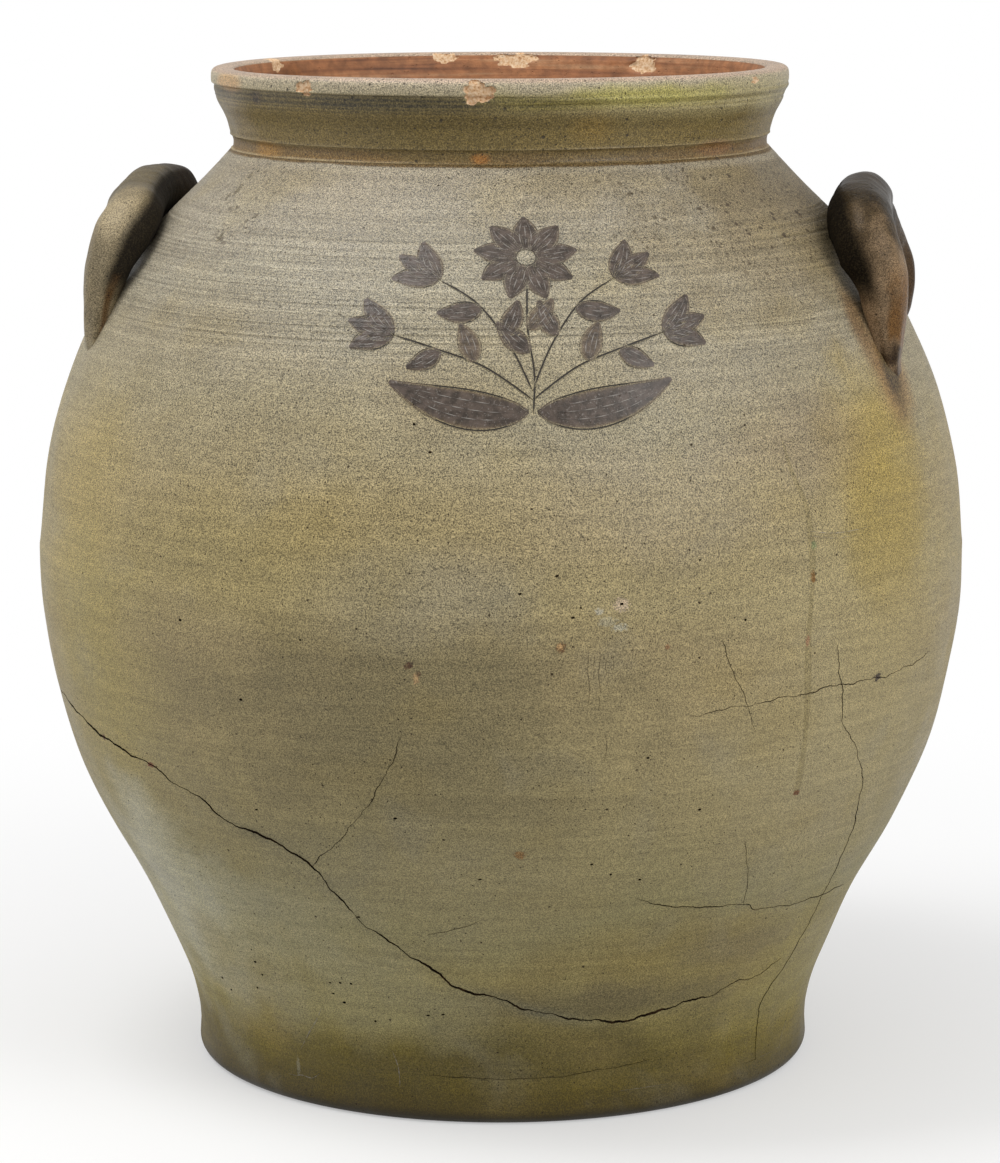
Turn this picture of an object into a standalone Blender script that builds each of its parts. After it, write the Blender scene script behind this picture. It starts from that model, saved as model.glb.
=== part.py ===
"""Ovoid stoneware crock: a storage jar thrown in three sections, with two open loop handles.

The potter throws the lower body with its floor, turns a shoulder section onto it at the belly, adds
a flared collar with a rounded lip, and presses two pulled handles onto the shoulder. Each section
meets the next in a V-shaped tongue and groove. Lengths are in metres, +Z is up, the origin is on the
turning axis in the plane the foot rests on, and the handles stand on the X axis.
"""

import math

import bmesh
import bpy

# Body, turned about the Z axis
FOOT_RADIUS = 0.1112
FOOT_BAND_HEIGHT = 0.010
FOOT_ROUND = 0.0042
BELLY_RADIUS = 0.1663
BELLY_HEIGHT = 0.185
NECK_RADIUS = 0.0957
NECK_HEIGHT = 0.3275
WALL = 0.009
FLOOR = 0.012
FLOOR_CORNER = 0.016
THROAT_LENGTH = 0.005

# Joints between the thrown sections
BELLY_JOINT_RISE = 0.005
BELLY_TONGUE = 0.003
NECK_TONGUE = 0.002
JOINT_GAP = 0.0003

# Collar and lip
COLLAR_HEIGHT = 0.0285
LIP_RADIUS = 0.1026
LIP_HEIGHT = 0.0046
LIP_GROOVE = 0.0010
LIP_EDGE_ROUND = 0.0030
LIP_INNER_ROUND = 0.0015
FOOT_RIDGE_HEIGHT = 0.0018
FOOT_RIDGE = 0.0008

# Handles: where each mark lies on the wall below the neck, and how far the bar's centre stands off it
HANDLE_HALF_SPAN = 0.0520
HANDLE_BEND_HALF_SPAN = 0.0330
HANDLE_TAIL_DROP = 0.0775
HANDLE_FOOT_DROP = 0.0635
HANDLE_LEG_DROP = 0.0420
HANDLE_BEND_DROP = 0.0298
LEFT_CROWN_DROP = 0.0240
RIGHT_CROWN_DROP = 0.0262
HANDLE_TAIL_DEPTH = 0.0050
LEFT_FOOT_DEPTH = 0.0038
RIGHT_FOOT_DEPTH = 0.0004
LEFT_LEG_LIFT = 0.0080
RIGHT_LEG_LIFT = 0.0156
LEFT_BEND_LIFT = 0.0094
RIGHT_BEND_LIFT = 0.0108
HANDLE_CROWN_LIFT = 0.0108
HANDLE_TAIL_RADIUS = 0.0050
HANDLE_FOOT_RADIUS = 0.0064
HANDLE_LEG_RADIUS = 0.0090
HANDLE_BEND_RADIUS = 0.0094
HANDLE_CROWN_RADIUS = 0.0094
HANDLE_SEAT_GAP = 0.0003
CUTTER_OVERRUN = 0.020

# Smoothness of the round surfaces
TURNING_STEPS = 80
WALL_ROWS = 15
CORNER_ROWS = 4
HANDLE_POINTS = 41
HANDLE_BEVEL_RESOLUTION = 5

# Outline of the wall, as shares of its rise and of its widening between the levels named above
LOWER_WALL_SHARES = (
    (0.0, 0.0), (0.046, 0.011), (0.114, 0.062), (0.2, 0.172), (0.314, 0.338), (0.457, 0.588),
    (0.6, 0.791), (0.743, 0.911), (0.886, 0.984), (1.0, 1.0),
)
SHOULDER_SHARES = (
    (0.0, 1.0), (0.035, 0.996), (0.21, 0.959), (0.386, 0.87), (0.54, 0.748), (0.681, 0.592),
    (0.807, 0.38), (0.905, 0.181), (0.958, 0.078), (1.0, 0.0),
)
# How far up the lower wall the floor's rounded inner corner ends
FLOOR_CORNER_SHARE = 0.12

LEVEL = 0.0
HALF = 0.5

COLORS = {
    "lower_body": (0.235, 0.205, 0.130, 1.0),
    "upper_body": (0.265, 0.235, 0.165, 1.0),
    "collar": (0.205, 0.170, 0.105, 1.0),
    "left_handle": (0.190, 0.155, 0.100, 1.0),
    "right_handle": (0.110, 0.070, 0.040, 1.0),
}
ROUGHNESS = {"lower_body": 0.5, "upper_body": 0.5, "collar": 0.5, "left_handle": 0.45, "right_handle": 0.35}


def clear_scene():
    """Remove every object that the scene starts with."""
    for obj in list(bpy.data.objects):
        bpy.data.objects.remove(obj, do_unlink=True)


def make_collection(name, hidden=False):
    collection = bpy.data.collections.new(name)
    collection.hide_render = hidden
    bpy.context.scene.collection.children.link(collection)
    return collection


def stoneware(name):
    """A Principled material in the glaze's colour."""
    material = bpy.data.materials.new(name + "_stoneware")
    material.use_nodes = True
    shader = material.node_tree.nodes["Principled BSDF"]
    shader.inputs["Base Color"].default_value = COLORS[name]
    shader.inputs["Roughness"].default_value = ROUGHNESS[name]
    shader.inputs["Metallic"].default_value = 0.0
    return material


def hermite(start, end, start_slope, end_slope, share):
    """Cubic between two values with given slopes, at a share of the way."""
    square = share * share
    cube = square * share
    return (
        (2 * cube - 3 * square + 1) * start
        + (cube - 2 * square + share) * start_slope
        + (3 * square - 2 * cube) * end
        + (cube - square) * end_slope
    )


def spline_point(points, place):
    """Point on the Catmull-Rom curve through the points, where place counts whole points."""
    last = len(points) - 1
    index = min(int(place), last - 1)
    before = points[max(index - 1, 0)]
    start = points[index]
    end = points[index + 1]
    after = points[min(index + 2, last)]
    found = []
    for a, b, c, d in zip(before, start, end, after):
        found.append(hermite(b, c, HALF * (c - a), HALF * (d - b), place - index))
    return tuple(found)


def smooth_curve(points, count):
    """Evenly counted points along the Catmull-Rom curve through the given ones."""
    last = len(points) - 1
    return [spline_point(points, last * step / (count - 1)) for step in range(count)]


def lower_wall_levels():
    """(radius, height) marks of the outside, from the foot band up to the belly."""
    rise = BELLY_HEIGHT - FOOT_BAND_HEIGHT
    widening = BELLY_RADIUS - FOOT_RADIUS
    return [(FOOT_RADIUS + out * widening, FOOT_BAND_HEIGHT + up * rise) for up, out in LOWER_WALL_SHARES]


def shoulder_levels():
    """(radius, height) marks of the outside, from the belly up to the neck."""
    rise = NECK_HEIGHT - BELLY_HEIGHT
    narrowing = BELLY_RADIUS - NECK_RADIUS
    return [(NECK_RADIUS + out * narrowing, BELLY_HEIGHT + up * rise) for up, out in SHOULDER_SHARES]


def outer_wall():
    """The whole outside of the wall as one smooth list of (radius, height), going up."""
    levels = lower_wall_levels() + shoulder_levels()[1:]
    return smooth_curve(levels, 4 * WALL_ROWS * CORNER_ROWS + 1)


def wall_radius(height):
    """Outer radius of the wall at a height, read between the two nearest points of its outline."""
    wall = outer_wall()
    for below, above in zip(wall, wall[1:]):
        if above[1] >= height:
            share = (height - below[1]) / (above[1] - below[1])
            return below[0] + share * (above[0] - below[0])
    return wall[-1][0]


def wall_between(low, high, rows):
    """Points of the outside between two heights, spaced evenly in height."""
    heights = [low + (high - low) * row / rows for row in range(rows + 1)]
    return [(wall_radius(height), height) for height in heights]


def inset(outline, depth):
    """The outline moved inwards by the depth, square to its own direction."""
    moved = []
    last = len(outline) - 1
    for index, (radius, height) in enumerate(outline):
        below = outline[max(index - 1, 0)]
        above = outline[min(index + 1, last)]
        run = above[0] - below[0]
        rise = above[1] - below[1]
        length = math.hypot(run, rise)
        moved.append((radius - depth * rise / length, height + depth * run / length))
    return moved


def quarter_arc(center, radius, start_degrees, end_degrees):
    """Points along an arc about a centre in the profile's plane."""
    points = []
    for step in range(CORNER_ROWS + 1):
        angle = math.radians(start_degrees + (end_degrees - start_degrees) * step / CORNER_ROWS)
        points.append((center[0] + radius * math.cos(angle), center[1] + radius * math.sin(angle)))
    return points


def tongue_line(outer_radius, inner_radius, height, depth):
    """The V across the wall at a joint, from the outside in: tongue above, groove below."""
    middle = HALF * (outer_radius + inner_radius)
    return [(outer_radius, height), (middle, height - depth), (inner_radius, height)]


def turned(name, profile, collection, closed):
    """Turn a profile of (radius, height) points about Z into a solid with a Screw modifier."""
    mesh = bpy.data.meshes.new(name)
    points = [(radius, 0.0, height) for radius, height in profile]
    edges = [(index, index + 1) for index in range(len(points) - 1)]
    if closed:
        edges.append((len(points) - 1, 0))
    mesh.from_pydata(points, edges, [])
    obj = bpy.data.objects.new(name, mesh)
    collection.objects.link(obj)
    screw = obj.modifiers.new("Turn", "SCREW")
    screw.axis = "Z"
    screw.angle = 2 * math.pi
    screw.steps = TURNING_STEPS
    screw.render_steps = TURNING_STEPS
    screw.use_merge_vertices = True
    screw.merge_threshold = 0.00001
    screw.use_smooth_shade = True
    return obj


def belly_joint_height():
    return BELLY_HEIGHT + BELLY_JOINT_RISE


def throat_radius():
    return NECK_RADIUS - WALL


def make_lower_body(collection):
    """Floor and lower wall, open upwards, with the belly joint's groove along its top edge."""
    top = belly_joint_height() - HALF * JOINT_GAP
    wall = wall_between(FOOT_BAND_HEIGHT, top, WALL_ROWS)
    corner_end = FOOT_BAND_HEIGHT + FLOOR_CORNER_SHARE * (BELLY_HEIGHT - FOOT_BAND_HEIGHT)
    inner = [point for point in inset(wall, WALL) if point[1] > max(corner_end, FLOOR + FLOOR_CORNER)]
    inner_top = (wall[-1][0] - WALL, top)
    corner_radius = FOOT_RADIUS - WALL
    corner = quarter_arc((corner_radius - FLOOR_CORNER, FLOOR + FLOOR_CORNER), FLOOR_CORNER, -90, 0)
    groove = tongue_line(wall[-1][0], inner_top[0], top, BELLY_TONGUE)
    foot = quarter_arc((FOOT_RADIUS - FOOT_ROUND, FOOT_ROUND), FOOT_ROUND, 0, -90)
    profile = [(0.0, FLOOR)] + corner + inner[:-1] + groove[::-1] + wall[-2::-1] + foot + [(0.0, LEVEL)]
    return turned("lower_body", profile, collection, closed=False)


def make_upper_body(collection):
    """Shoulder section: its tongue sits in the belly joint, and its top edge is grooved for the collar."""
    bottom = belly_joint_height() + HALF * JOINT_GAP
    top = NECK_HEIGHT - HALF * JOINT_GAP
    wall = wall_between(bottom, top, WALL_ROWS)
    inner = [point for point in inset(wall, WALL)[1:] if point[1] < top - WALL - THROAT_LENGTH * HALF]
    throat = [(throat_radius(), top - THROAT_LENGTH)]
    tongue = tongue_line(wall[0][0], wall[0][0] - WALL, bottom, BELLY_TONGUE)
    groove = tongue_line(wall[-1][0], throat_radius(), top, NECK_TONGUE)
    profile = tongue + inner + throat + groove[::-1] + wall[-2:0:-1]
    return turned("upper_body", profile, collection, closed=True)


def make_collar(collection):
    """Straight flaring collar with a thin ridge at its foot and a rounded lip over a groove."""
    bottom = NECK_HEIGHT + HALF * JOINT_GAP
    top = NECK_HEIGHT + COLLAR_HEIGHT
    flare_top = top - LIP_HEIGHT
    ridge = bottom + FOOT_RIDGE_HEIGHT
    inner_lip = LIP_RADIUS - WALL
    edge = quarter_arc((LIP_RADIUS - LIP_EDGE_ROUND, top - LIP_EDGE_ROUND), LIP_EDGE_ROUND, 90, 0)
    inner_edge = quarter_arc((inner_lip + LIP_INNER_ROUND, top - LIP_INNER_ROUND), LIP_INNER_ROUND, 180, 90)
    outside = edge + [
        (LIP_RADIUS, flare_top + LIP_GROOVE),
        (LIP_RADIUS - LIP_GROOVE, flare_top),
        (NECK_RADIUS, ridge + FOOT_RIDGE_HEIGHT),
        (NECK_RADIUS + FOOT_RIDGE, ridge),
    ]
    tongue = tongue_line(NECK_RADIUS, throat_radius(), bottom, NECK_TONGUE)
    inside = [(throat_radius(), ridge + FOOT_RIDGE_HEIGHT)]
    profile = outside + tongue + inside + inner_edge
    return turned("collar", profile, collection, closed=True)


def wall_cutter(collection):
    """Solid in the outer wall's shape and a seat gap wider, for trimming the handles' feet to the wall."""
    bottom = NECK_HEIGHT - HANDLE_TAIL_DROP - CUTTER_OVERRUN
    grown = inset(wall_between(bottom, NECK_HEIGHT, WALL_ROWS + WALL_ROWS), -HANDLE_SEAT_GAP)
    profile = [(0.0, grown[-1][1])] + grown[::-1] + [(0.0, grown[0][1])]
    cutter = turned("wall_cutter", profile, collection, closed=False)
    cutter.hide_render = True
    cutter.display_type = "WIRE"
    return cutter


def off_wall(drop, along, lift, radius):
    """Bar mark (out, along, height, radius) that stands off the wall, square to its surface."""
    height = NECK_HEIGHT - drop
    here = wall_radius(height)
    slope = (wall_radius(height + WALL) - wall_radius(height - WALL)) / (WALL + WALL)
    length = math.hypot(1, slope)
    out = math.sqrt(here**2 - along**2)
    stretch = 1 + lift / (length * here)
    return (out * stretch, along * stretch, height - lift * slope / length, radius)


def handle_marks(crown_drop, foot_depth, leg_lift, bend_lift):
    """Marks of the handle's bar, from one tail over the crown to the other."""
    half = [
        off_wall(HANDLE_TAIL_DROP, HANDLE_HALF_SPAN, -HANDLE_TAIL_DEPTH, HANDLE_TAIL_RADIUS),
        off_wall(HANDLE_FOOT_DROP, HANDLE_HALF_SPAN, -foot_depth, HANDLE_FOOT_RADIUS),
        off_wall(HANDLE_LEG_DROP, HANDLE_HALF_SPAN, leg_lift, HANDLE_LEG_RADIUS),
        off_wall(HANDLE_BEND_DROP, HANDLE_BEND_HALF_SPAN, bend_lift, HANDLE_BEND_RADIUS),
    ]
    crown = off_wall(crown_drop, LEVEL, HANDLE_CROWN_LIFT, HANDLE_CROWN_RADIUS)
    return [(out, -along, height, radius) for out, along, height, radius in half] + [crown] + half[::-1]


def bar(name, marks, side, collection):
    """Round bar along the marks as a curve with a bevel, made a mesh with its end caps welded on."""
    curve = bpy.data.curves.new(name + "_path", "CURVE")
    curve.dimensions = "3D"
    curve.bevel_depth = HANDLE_CROWN_RADIUS
    curve.bevel_resolution = HANDLE_BEVEL_RESOLUTION
    curve.use_fill_caps = True
    spline = curve.splines.new("POLY")
    path = smooth_curve(marks, HANDLE_POINTS)
    spline.points.add(len(path) - 1)
    for point, (out, along, height, radius) in zip(spline.points, path):
        point.co = (side * out, along, height, 1.0)
        point.radius = radius / HANDLE_CROWN_RADIUS
    guide = bpy.data.objects.new(name + "_path", curve)
    collection.objects.link(guide)
    bpy.context.view_layer.update()
    graph = bpy.context.evaluated_depsgraph_get()
    mesh = bpy.data.meshes.new_from_object(guide.evaluated_get(graph))
    mesh.name = name
    work = bmesh.new()
    work.from_mesh(mesh)
    bmesh.ops.remove_doubles(work, verts=work.verts, dist=0.00001)
    bmesh.ops.recalc_face_normals(work, faces=work.faces)
    work.to_mesh(mesh)
    work.free()
    obj = bpy.data.objects.new(name, mesh)
    obj.matrix_world = guide.matrix_world.copy()
    collection.objects.link(obj)
    bpy.data.objects.remove(guide, do_unlink=True)
    return obj


def make_handle(name, side, shape, cutter, collection):
    """Open loop handle, its two feet trimmed to the shoulder's surface."""
    obj = bar(name, handle_marks(*shape), side, collection)
    trim = obj.modifiers.new("Trim to wall", "BOOLEAN")
    trim.operation = "DIFFERENCE"
    trim.solver = "EXACT"
    trim.object = cutter
    obj.data.shade_smooth()
    return obj


def main():
    clear_scene()
    parts = make_collection("stoneware_crock")
    cutters = make_collection("cutters", hidden=True)
    cutter = wall_cutter(cutters)
    left_shape = (LEFT_CROWN_DROP, LEFT_FOOT_DEPTH, LEFT_LEG_LIFT, LEFT_BEND_LIFT)
    right_shape = (RIGHT_CROWN_DROP, RIGHT_FOOT_DEPTH, RIGHT_LEG_LIFT, RIGHT_BEND_LIFT)
    pieces = [
        make_lower_body(parts),
        make_upper_body(parts),
        make_collar(parts),
        make_handle("left_handle", -1, left_shape, cutter, parts),
        make_handle("right_handle", 1, right_shape, cutter, parts),
    ]
    for piece in pieces:
        piece.data.materials.append(stoneware(piece.name))


main()
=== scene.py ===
"""Glazed surface of an ovoid stoneware crock, laid out as a Blender add-on and run as a script.

Each thrown section, each handle and each mark in the clay is a surface worked out with numpy: a turned
outline with relief, or a section carried along a path. Lengths are metres and +Z is up. Azimuth 0 faces
-Y, where the decoration is, and grows towards +X, where the right handle is.
"""

import math

import bpy
import numpy as np
from bpy.props import FloatProperty, FloatVectorProperty, PointerProperty
from bpy.types import Operator, Panel, PropertyGroup
from mathutils import Matrix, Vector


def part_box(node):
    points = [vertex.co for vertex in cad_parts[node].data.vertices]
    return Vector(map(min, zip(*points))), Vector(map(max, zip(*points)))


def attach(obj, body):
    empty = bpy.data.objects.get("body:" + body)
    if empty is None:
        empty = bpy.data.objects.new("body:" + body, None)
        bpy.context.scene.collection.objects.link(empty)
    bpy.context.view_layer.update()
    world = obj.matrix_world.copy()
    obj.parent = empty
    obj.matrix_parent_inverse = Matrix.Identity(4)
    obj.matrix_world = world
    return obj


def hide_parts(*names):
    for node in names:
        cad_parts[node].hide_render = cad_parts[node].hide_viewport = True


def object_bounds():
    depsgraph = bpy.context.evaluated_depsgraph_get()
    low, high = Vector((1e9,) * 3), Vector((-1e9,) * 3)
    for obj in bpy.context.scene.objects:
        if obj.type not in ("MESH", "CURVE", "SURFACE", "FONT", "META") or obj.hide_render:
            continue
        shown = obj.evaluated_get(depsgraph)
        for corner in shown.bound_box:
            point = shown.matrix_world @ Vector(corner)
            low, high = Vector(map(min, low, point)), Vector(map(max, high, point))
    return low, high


bl_info = {
    "name": "Ovoid stoneware crock",
    "version": (1, 0, 0),
    "blender": (4, 5, 0),
    "location": "View3D > Sidebar > Crock",
    "description": "Builds the glazed surface of a two-handled stoneware crock round its packed frame",
    "category": "Add Mesh",
}

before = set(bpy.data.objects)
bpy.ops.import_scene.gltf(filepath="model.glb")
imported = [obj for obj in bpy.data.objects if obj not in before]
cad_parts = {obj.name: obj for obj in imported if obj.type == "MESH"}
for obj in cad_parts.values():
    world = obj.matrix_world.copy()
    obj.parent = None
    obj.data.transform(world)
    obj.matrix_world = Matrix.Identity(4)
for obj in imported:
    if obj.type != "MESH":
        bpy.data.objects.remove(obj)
CAD_LOW, CAD_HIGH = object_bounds()
MM = 0.001
PHASE = 6.3  # about a full turn, for random starts of sines


def srgb(red, green, blue):
    """Linear colour of a screen colour given in 0 to 255."""
    shares = np.array((red, green, blue)) / 255
    linear = np.where(shares <= 0.04045, shares / 12.92, ((shares + 0.055) / 1.055) ** 2.4)
    return tuple(float(value) for value in linear)


# Outline of the wall, from the frame and the same driving sizes as the solids
HALF_JOINT_GAP = 0.15 * MM
BELLY_INSET = 0.15 * MM  # keeps the wall's relief inside the solids' own box
FOOT_RADIUS = 0.1112
FOOT_BAND_HEIGHT = 0.010
FOOT_ROUND = 0.0042
BELLY_RADIUS = CAD_HIGH.x - BELLY_INSET
BELLY_HEIGHT = 0.185
NECK_RADIUS = 0.0957
BELLY_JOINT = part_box("lower_body")[1].z + HALF_JOINT_GAP
NECK_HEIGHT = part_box("upper_body")[1].z + HALF_JOINT_GAP
HEIGHT = CAD_HIGH.z
LIP_RADIUS = 0.1025
WALL = 0.009
FLOOR = 0.012
FLOOR_CORNER = 0.016
TONGUE = 0.003
NECK_TONGUE = 0.002
LOWER_WALL_SHARES = (
    (0.0, 0.0), (0.046, 0.011), (0.114, 0.062), (0.2, 0.172), (0.314, 0.338), (0.457, 0.588),
    (0.6, 0.791), (0.743, 0.911), (0.886, 0.984), (1.0, 1.0),
)
SHOULDER_SHARES = (
    (0.0, 1.0), (0.035, 0.996), (0.21, 0.959), (0.386, 0.87), (0.54, 0.748), (0.681, 0.592),
    (0.807, 0.38), (0.905, 0.181), (0.958, 0.078), (1.0, 0.0),
)

# Camera, found from the photograph's outline
PHOTO_WIDTH = 1000
PHOTO_HEIGHT = 1163
FOCAL_PIXELS = 4118
CAMERA_AZIMUTH = math.radians(6)
CAMERA_DISTANCE = 1.469
CAMERA_HEIGHT = 0.4273
CAMERA_SIDE = 0.0005
CAMERA_DIP = math.radians(9.94)
CAMERA_ROLL = math.radians(-0.186)
RAY_START = 1.2
RAY_END = 1.75
RAY_STEPS = 8001


def hermite(start, end, start_slope, end_slope, share):
    """Cubic between two values with given slopes, at a share of the way."""
    square = share * share
    cube = square * share
    return (
        (2 * cube - 3 * square + 1) * start
        + (cube - 2 * square + share) * start_slope
        + (3 * square - 2 * cube) * end
        + (cube - square) * end_slope
    )


def smooth_path(marks, count):
    """Catmull-Rom curve through the marks: count rows, evenly spaced from mark to mark."""
    marks = np.asarray(marks, float)
    last = len(marks) - 1
    place = np.linspace(0, last, count)
    index = np.minimum(place.astype(int), last - 1)
    share = (place - index)[:, None]
    before = marks[np.maximum(index - 1, 0)]
    start = marks[index]
    end = marks[index + 1]
    after = marks[np.minimum(index + 2, last)]
    return hermite(start, end, 0.5 * (end - before), 0.5 * (after - start), share)


def arc_lengths(points):
    """Distance along a row of points to each of them."""
    steps = np.linalg.norm(np.diff(points, axis=0), axis=1)
    return np.concatenate([[0.0], np.cumsum(steps)])


def even_path(points, step):
    """The path's points moved so that they lie about a step apart along it."""
    points = np.asarray(points, float)
    along = arc_lengths(points)
    count = max(int(round(along[-1] / step)), 3) + 1
    wanted = np.linspace(0, along[-1], count)
    return np.stack([np.interp(wanted, along, column) for column in points.T], axis=1)


def outer_marks():
    """(radius, height) marks of the outside wall from the foot band to the neck."""
    marks = []
    for up, out in LOWER_WALL_SHARES:
        radius = FOOT_RADIUS + out * (BELLY_RADIUS - FOOT_RADIUS)
        marks.append((radius, FOOT_BAND_HEIGHT + up * (BELLY_HEIGHT - FOOT_BAND_HEIGHT)))
    for up, out in SHOULDER_SHARES[1:]:
        radius = NECK_RADIUS + out * (BELLY_RADIUS - NECK_RADIUS)
        marks.append((radius, BELLY_HEIGHT + up * (NECK_HEIGHT - BELLY_HEIGHT)))
    return marks


# The outside wall as dense arrays that the other functions read between
MERIDIAN = smooth_path(outer_marks(), 2001)
MERIDIAN_RISE = arc_lengths(MERIDIAN)
MERIDIAN_SLOPE = np.gradient(MERIDIAN[:, 0], MERIDIAN[:, 1])


def wall_radius(height):
    """Radius of the smooth outside wall, read between the outline's points at a height."""
    return np.interp(height, MERIDIAN[:, 1], MERIDIAN[:, 0])


def rise_at(height):
    """Distance up the outside wall, along its outline, at a height."""
    return np.interp(height, MERIDIAN[:, 1], MERIDIAN_RISE)


def height_at(rise):
    """Height of the place that lies a distance up the outside wall, along its outline."""
    return np.interp(rise, MERIDIAN_RISE, MERIDIAN[:, 1])


def wall_normal(height):
    """(outward, upward) parts of the outside wall's unit normal at a height."""
    slope = np.interp(height, MERIDIAN[:, 1], MERIDIAN_SLOPE)
    length = np.sqrt(1 + slope**2)
    return 1 / length, -slope / length


def around(azimuth, radius, height):
    """Points at an azimuth, a distance from the axis and a height."""
    return np.stack([radius * np.sin(azimuth), -radius * np.cos(azimuth), height], axis=-1)


def azimuth_of(points):
    """Angle about the axis from -Y towards +X, from minus to plus half a turn."""
    return np.arctan2(points[..., 0], -points[..., 1])


def wrapped(angle):
    """The angle brought to between minus and plus half a turn."""
    return np.mod(angle + math.pi, 2 * math.pi) - math.pi


def upright(radius):
    """An upright cylinder, as the radius at any height."""
    return lambda height: np.full(height.shape, radius)


def ripple(seed, *shape):
    """Repeatable random values from 0 to 1."""
    return np.random.RandomState(seed).random_sample(shape)


def smoothstep(value, low, high):
    """0 up to low and 1 from high, with three squares less two cubes of the share between them."""
    share = np.clip((value - low) / (high - low), 0, 1)
    return share * share * (3 - 2 * share)


def camera_matrix():
    """The camera drawn back from the axis at its azimuth and height, then dipped and rolled."""
    side = Matrix.Rotation(CAMERA_AZIMUTH, 4, "Z")
    place = side @ Matrix.Translation((-CAMERA_SIDE, -CAMERA_DISTANCE, CAMERA_HEIGHT))
    dip = Matrix.Rotation(math.pi / 2 - CAMERA_DIP, 4, "X")
    return place @ dip @ Matrix.Rotation(CAMERA_ROLL, 4, "Z")


def seen_at(pixels, far=False, radius_at=wall_radius, low=0.0, high=NECK_HEIGHT):
    """(azimuth, height) rows of the places on a turned surface that lie under pixels of the photograph.

    The ray through each pixel is cut into short steps, and the place is where it first comes inside the
    surface, or, for the far inside, where it last leaves it.
    """
    pixels = np.asarray(pixels, float)
    matrix = np.array(camera_matrix())
    offset = (pixels - (PHOTO_WIDTH / 2, PHOTO_HEIGHT / 2)) * (1, -1) / FOCAL_PIXELS
    aim = np.concatenate([offset, -np.ones((len(pixels), 1))], axis=1) @ matrix[:3, :3].T
    reach = np.linspace(RAY_START, RAY_END, RAY_STEPS)
    places = matrix[:3, 3] + aim[:, None, :] * reach[None, :, None]
    inside = np.hypot(places[..., 0], places[..., 1]) < radius_at(places[..., 2])
    inside &= (places[..., 2] > low) & (places[..., 2] < high)
    if far:
        index = len(reach) - 1 - np.argmax(inside[:, ::-1], axis=1)
    else:
        index = np.argmax(inside, axis=1)
    found = places[np.arange(len(pixels)), index]
    return np.stack([azimuth_of(found), found[:, 2]], axis=1)


# Cracks, each by some pixels of the photograph along it
MAIN_CRACK = (
    (60, 690), (80, 716), (103, 737), (126, 752), (150, 765), (172, 782), (197, 797), (222, 818),
    (245, 830), (280, 845), (312, 868), (330, 888), (345, 905), (359, 922), (380, 935), (405, 954),
    (430, 967), (450, 985), (470, 992), (500, 1000), (530, 1011), (570, 1019), (610, 1023), (640, 1019),
    (660, 1012), (684, 1004), (710, 997), (735, 984), (760, 975), (782, 958),
)
CRACKS = (
    # half width and wobble in millimetres, pixels
    (0.37, 0.35, MAIN_CRACK),
    (0.13, 0.35, ((312, 868), (325, 853), (345, 835), (362, 812), (375, 795), (390, 765), (402, 735))),
    (0.14, 0.40, ((690, 716), (720, 711), (760, 703), (800, 695), (840, 685), (878, 678), (905, 668),
                  (930, 652))),
    (0.18, 0.40, ((838, 645), (842, 690), (845, 725), (858, 752), (863, 778), (858, 812), (848, 842),
                  (836, 868), (822, 898), (806, 930), (790, 958), (772, 985), (760, 1008), (757, 1035),
                  (755, 1062), (745, 1084))),
    (0.16, 0.30, ((636, 900), (662, 905), (690, 908), (720, 906), (748, 905), (756, 909), (790, 905),
                  (822, 895), (845, 884))),
    (0.10, 0.25, ((428, 936), (450, 931), (480, 922))),
    (0.08, 0.20, ((429, 1075), (480, 1079), (547, 1078), (600, 1070), (652, 1060))),
    (0.08, 0.25, ((722, 640), (735, 675), (748, 705), (756, 732))),
    (0.08, 0.20, ((745, 842), (748, 872), (744, 905))),
)


# Throwing marks
MARK_ZONES = (
    # lowest and highest level, how many, groove depth and half width in millimetres, seed
    (0.2725, 0.3065, 26, 0.13, 0.34, 3),
    (0.3070, 0.3240, 8, 0.07, 0.45, 5),
    (0.2100, 0.2700, 10, 0.03, 0.90, 7),
    (0.0200, 0.1850, 18, 0.03, 2.20, 11),
)
MARK_WANDER = 0.5 * MM


def throwing_marks(azimuth, height):
    """Relief of the grooves that the potter's fingers and rib left.

    Each groove is a bell curve of the height, with a smaller raised bell beside it. Its level wanders by
    half a millimetre round the pot, and a sine of the azimuth fades it in and out.
    """
    relief = np.zeros(np.broadcast(azimuth, height).shape)
    for low, high, count, depth, half_width, seed in MARK_ZONES:
        chance = ripple(seed, count, 5)
        for number in range(count):
            level = low + (high - low) * (number + chance[number, 0]) / count
            wander = MARK_WANDER * np.sin(azimuth + PHASE * chance[number, 1])
            width = half_width * MM * (0.6 + 0.8 * chance[number, 2])
            fade = 0.55 + 0.45 * np.sin((1 + number % 3) * azimuth + PHASE * chance[number, 3])
            strength = depth * MM * (0.35 + 0.65 * chance[number, 4]) * fade
            away = (height - level - wander) / width
            relief -= strength * np.exp(-(away**2))
            relief += 0.55 * strength * np.exp(-((away - 1.7) ** 2))
    return relief


def mark_share(grid):
    """How deep in a groove, below 0, or how high on the ridge beside it, above 0, each point lies."""
    azimuth = azimuth_of(grid)
    return np.clip(throwing_marks(azimuth, grid[..., 2]) / (0.12 * MM), -1, 1)


def hand_waves(azimuth, height):
    """Slow unevenness of a hand-thrown wall: a few long sines of azimuth and height."""
    return 0.10 * MM * (
        np.sin(azimuth + 2 * math.pi * height / 0.041)
        + np.sin(2 * azimuth - 2 * math.pi * height / 0.067 + 1.3)
        + 0.7 * np.sin(5 * azimuth + 2 * math.pi * height / 0.093 + 4.0)
        - 2.7
    )


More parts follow.
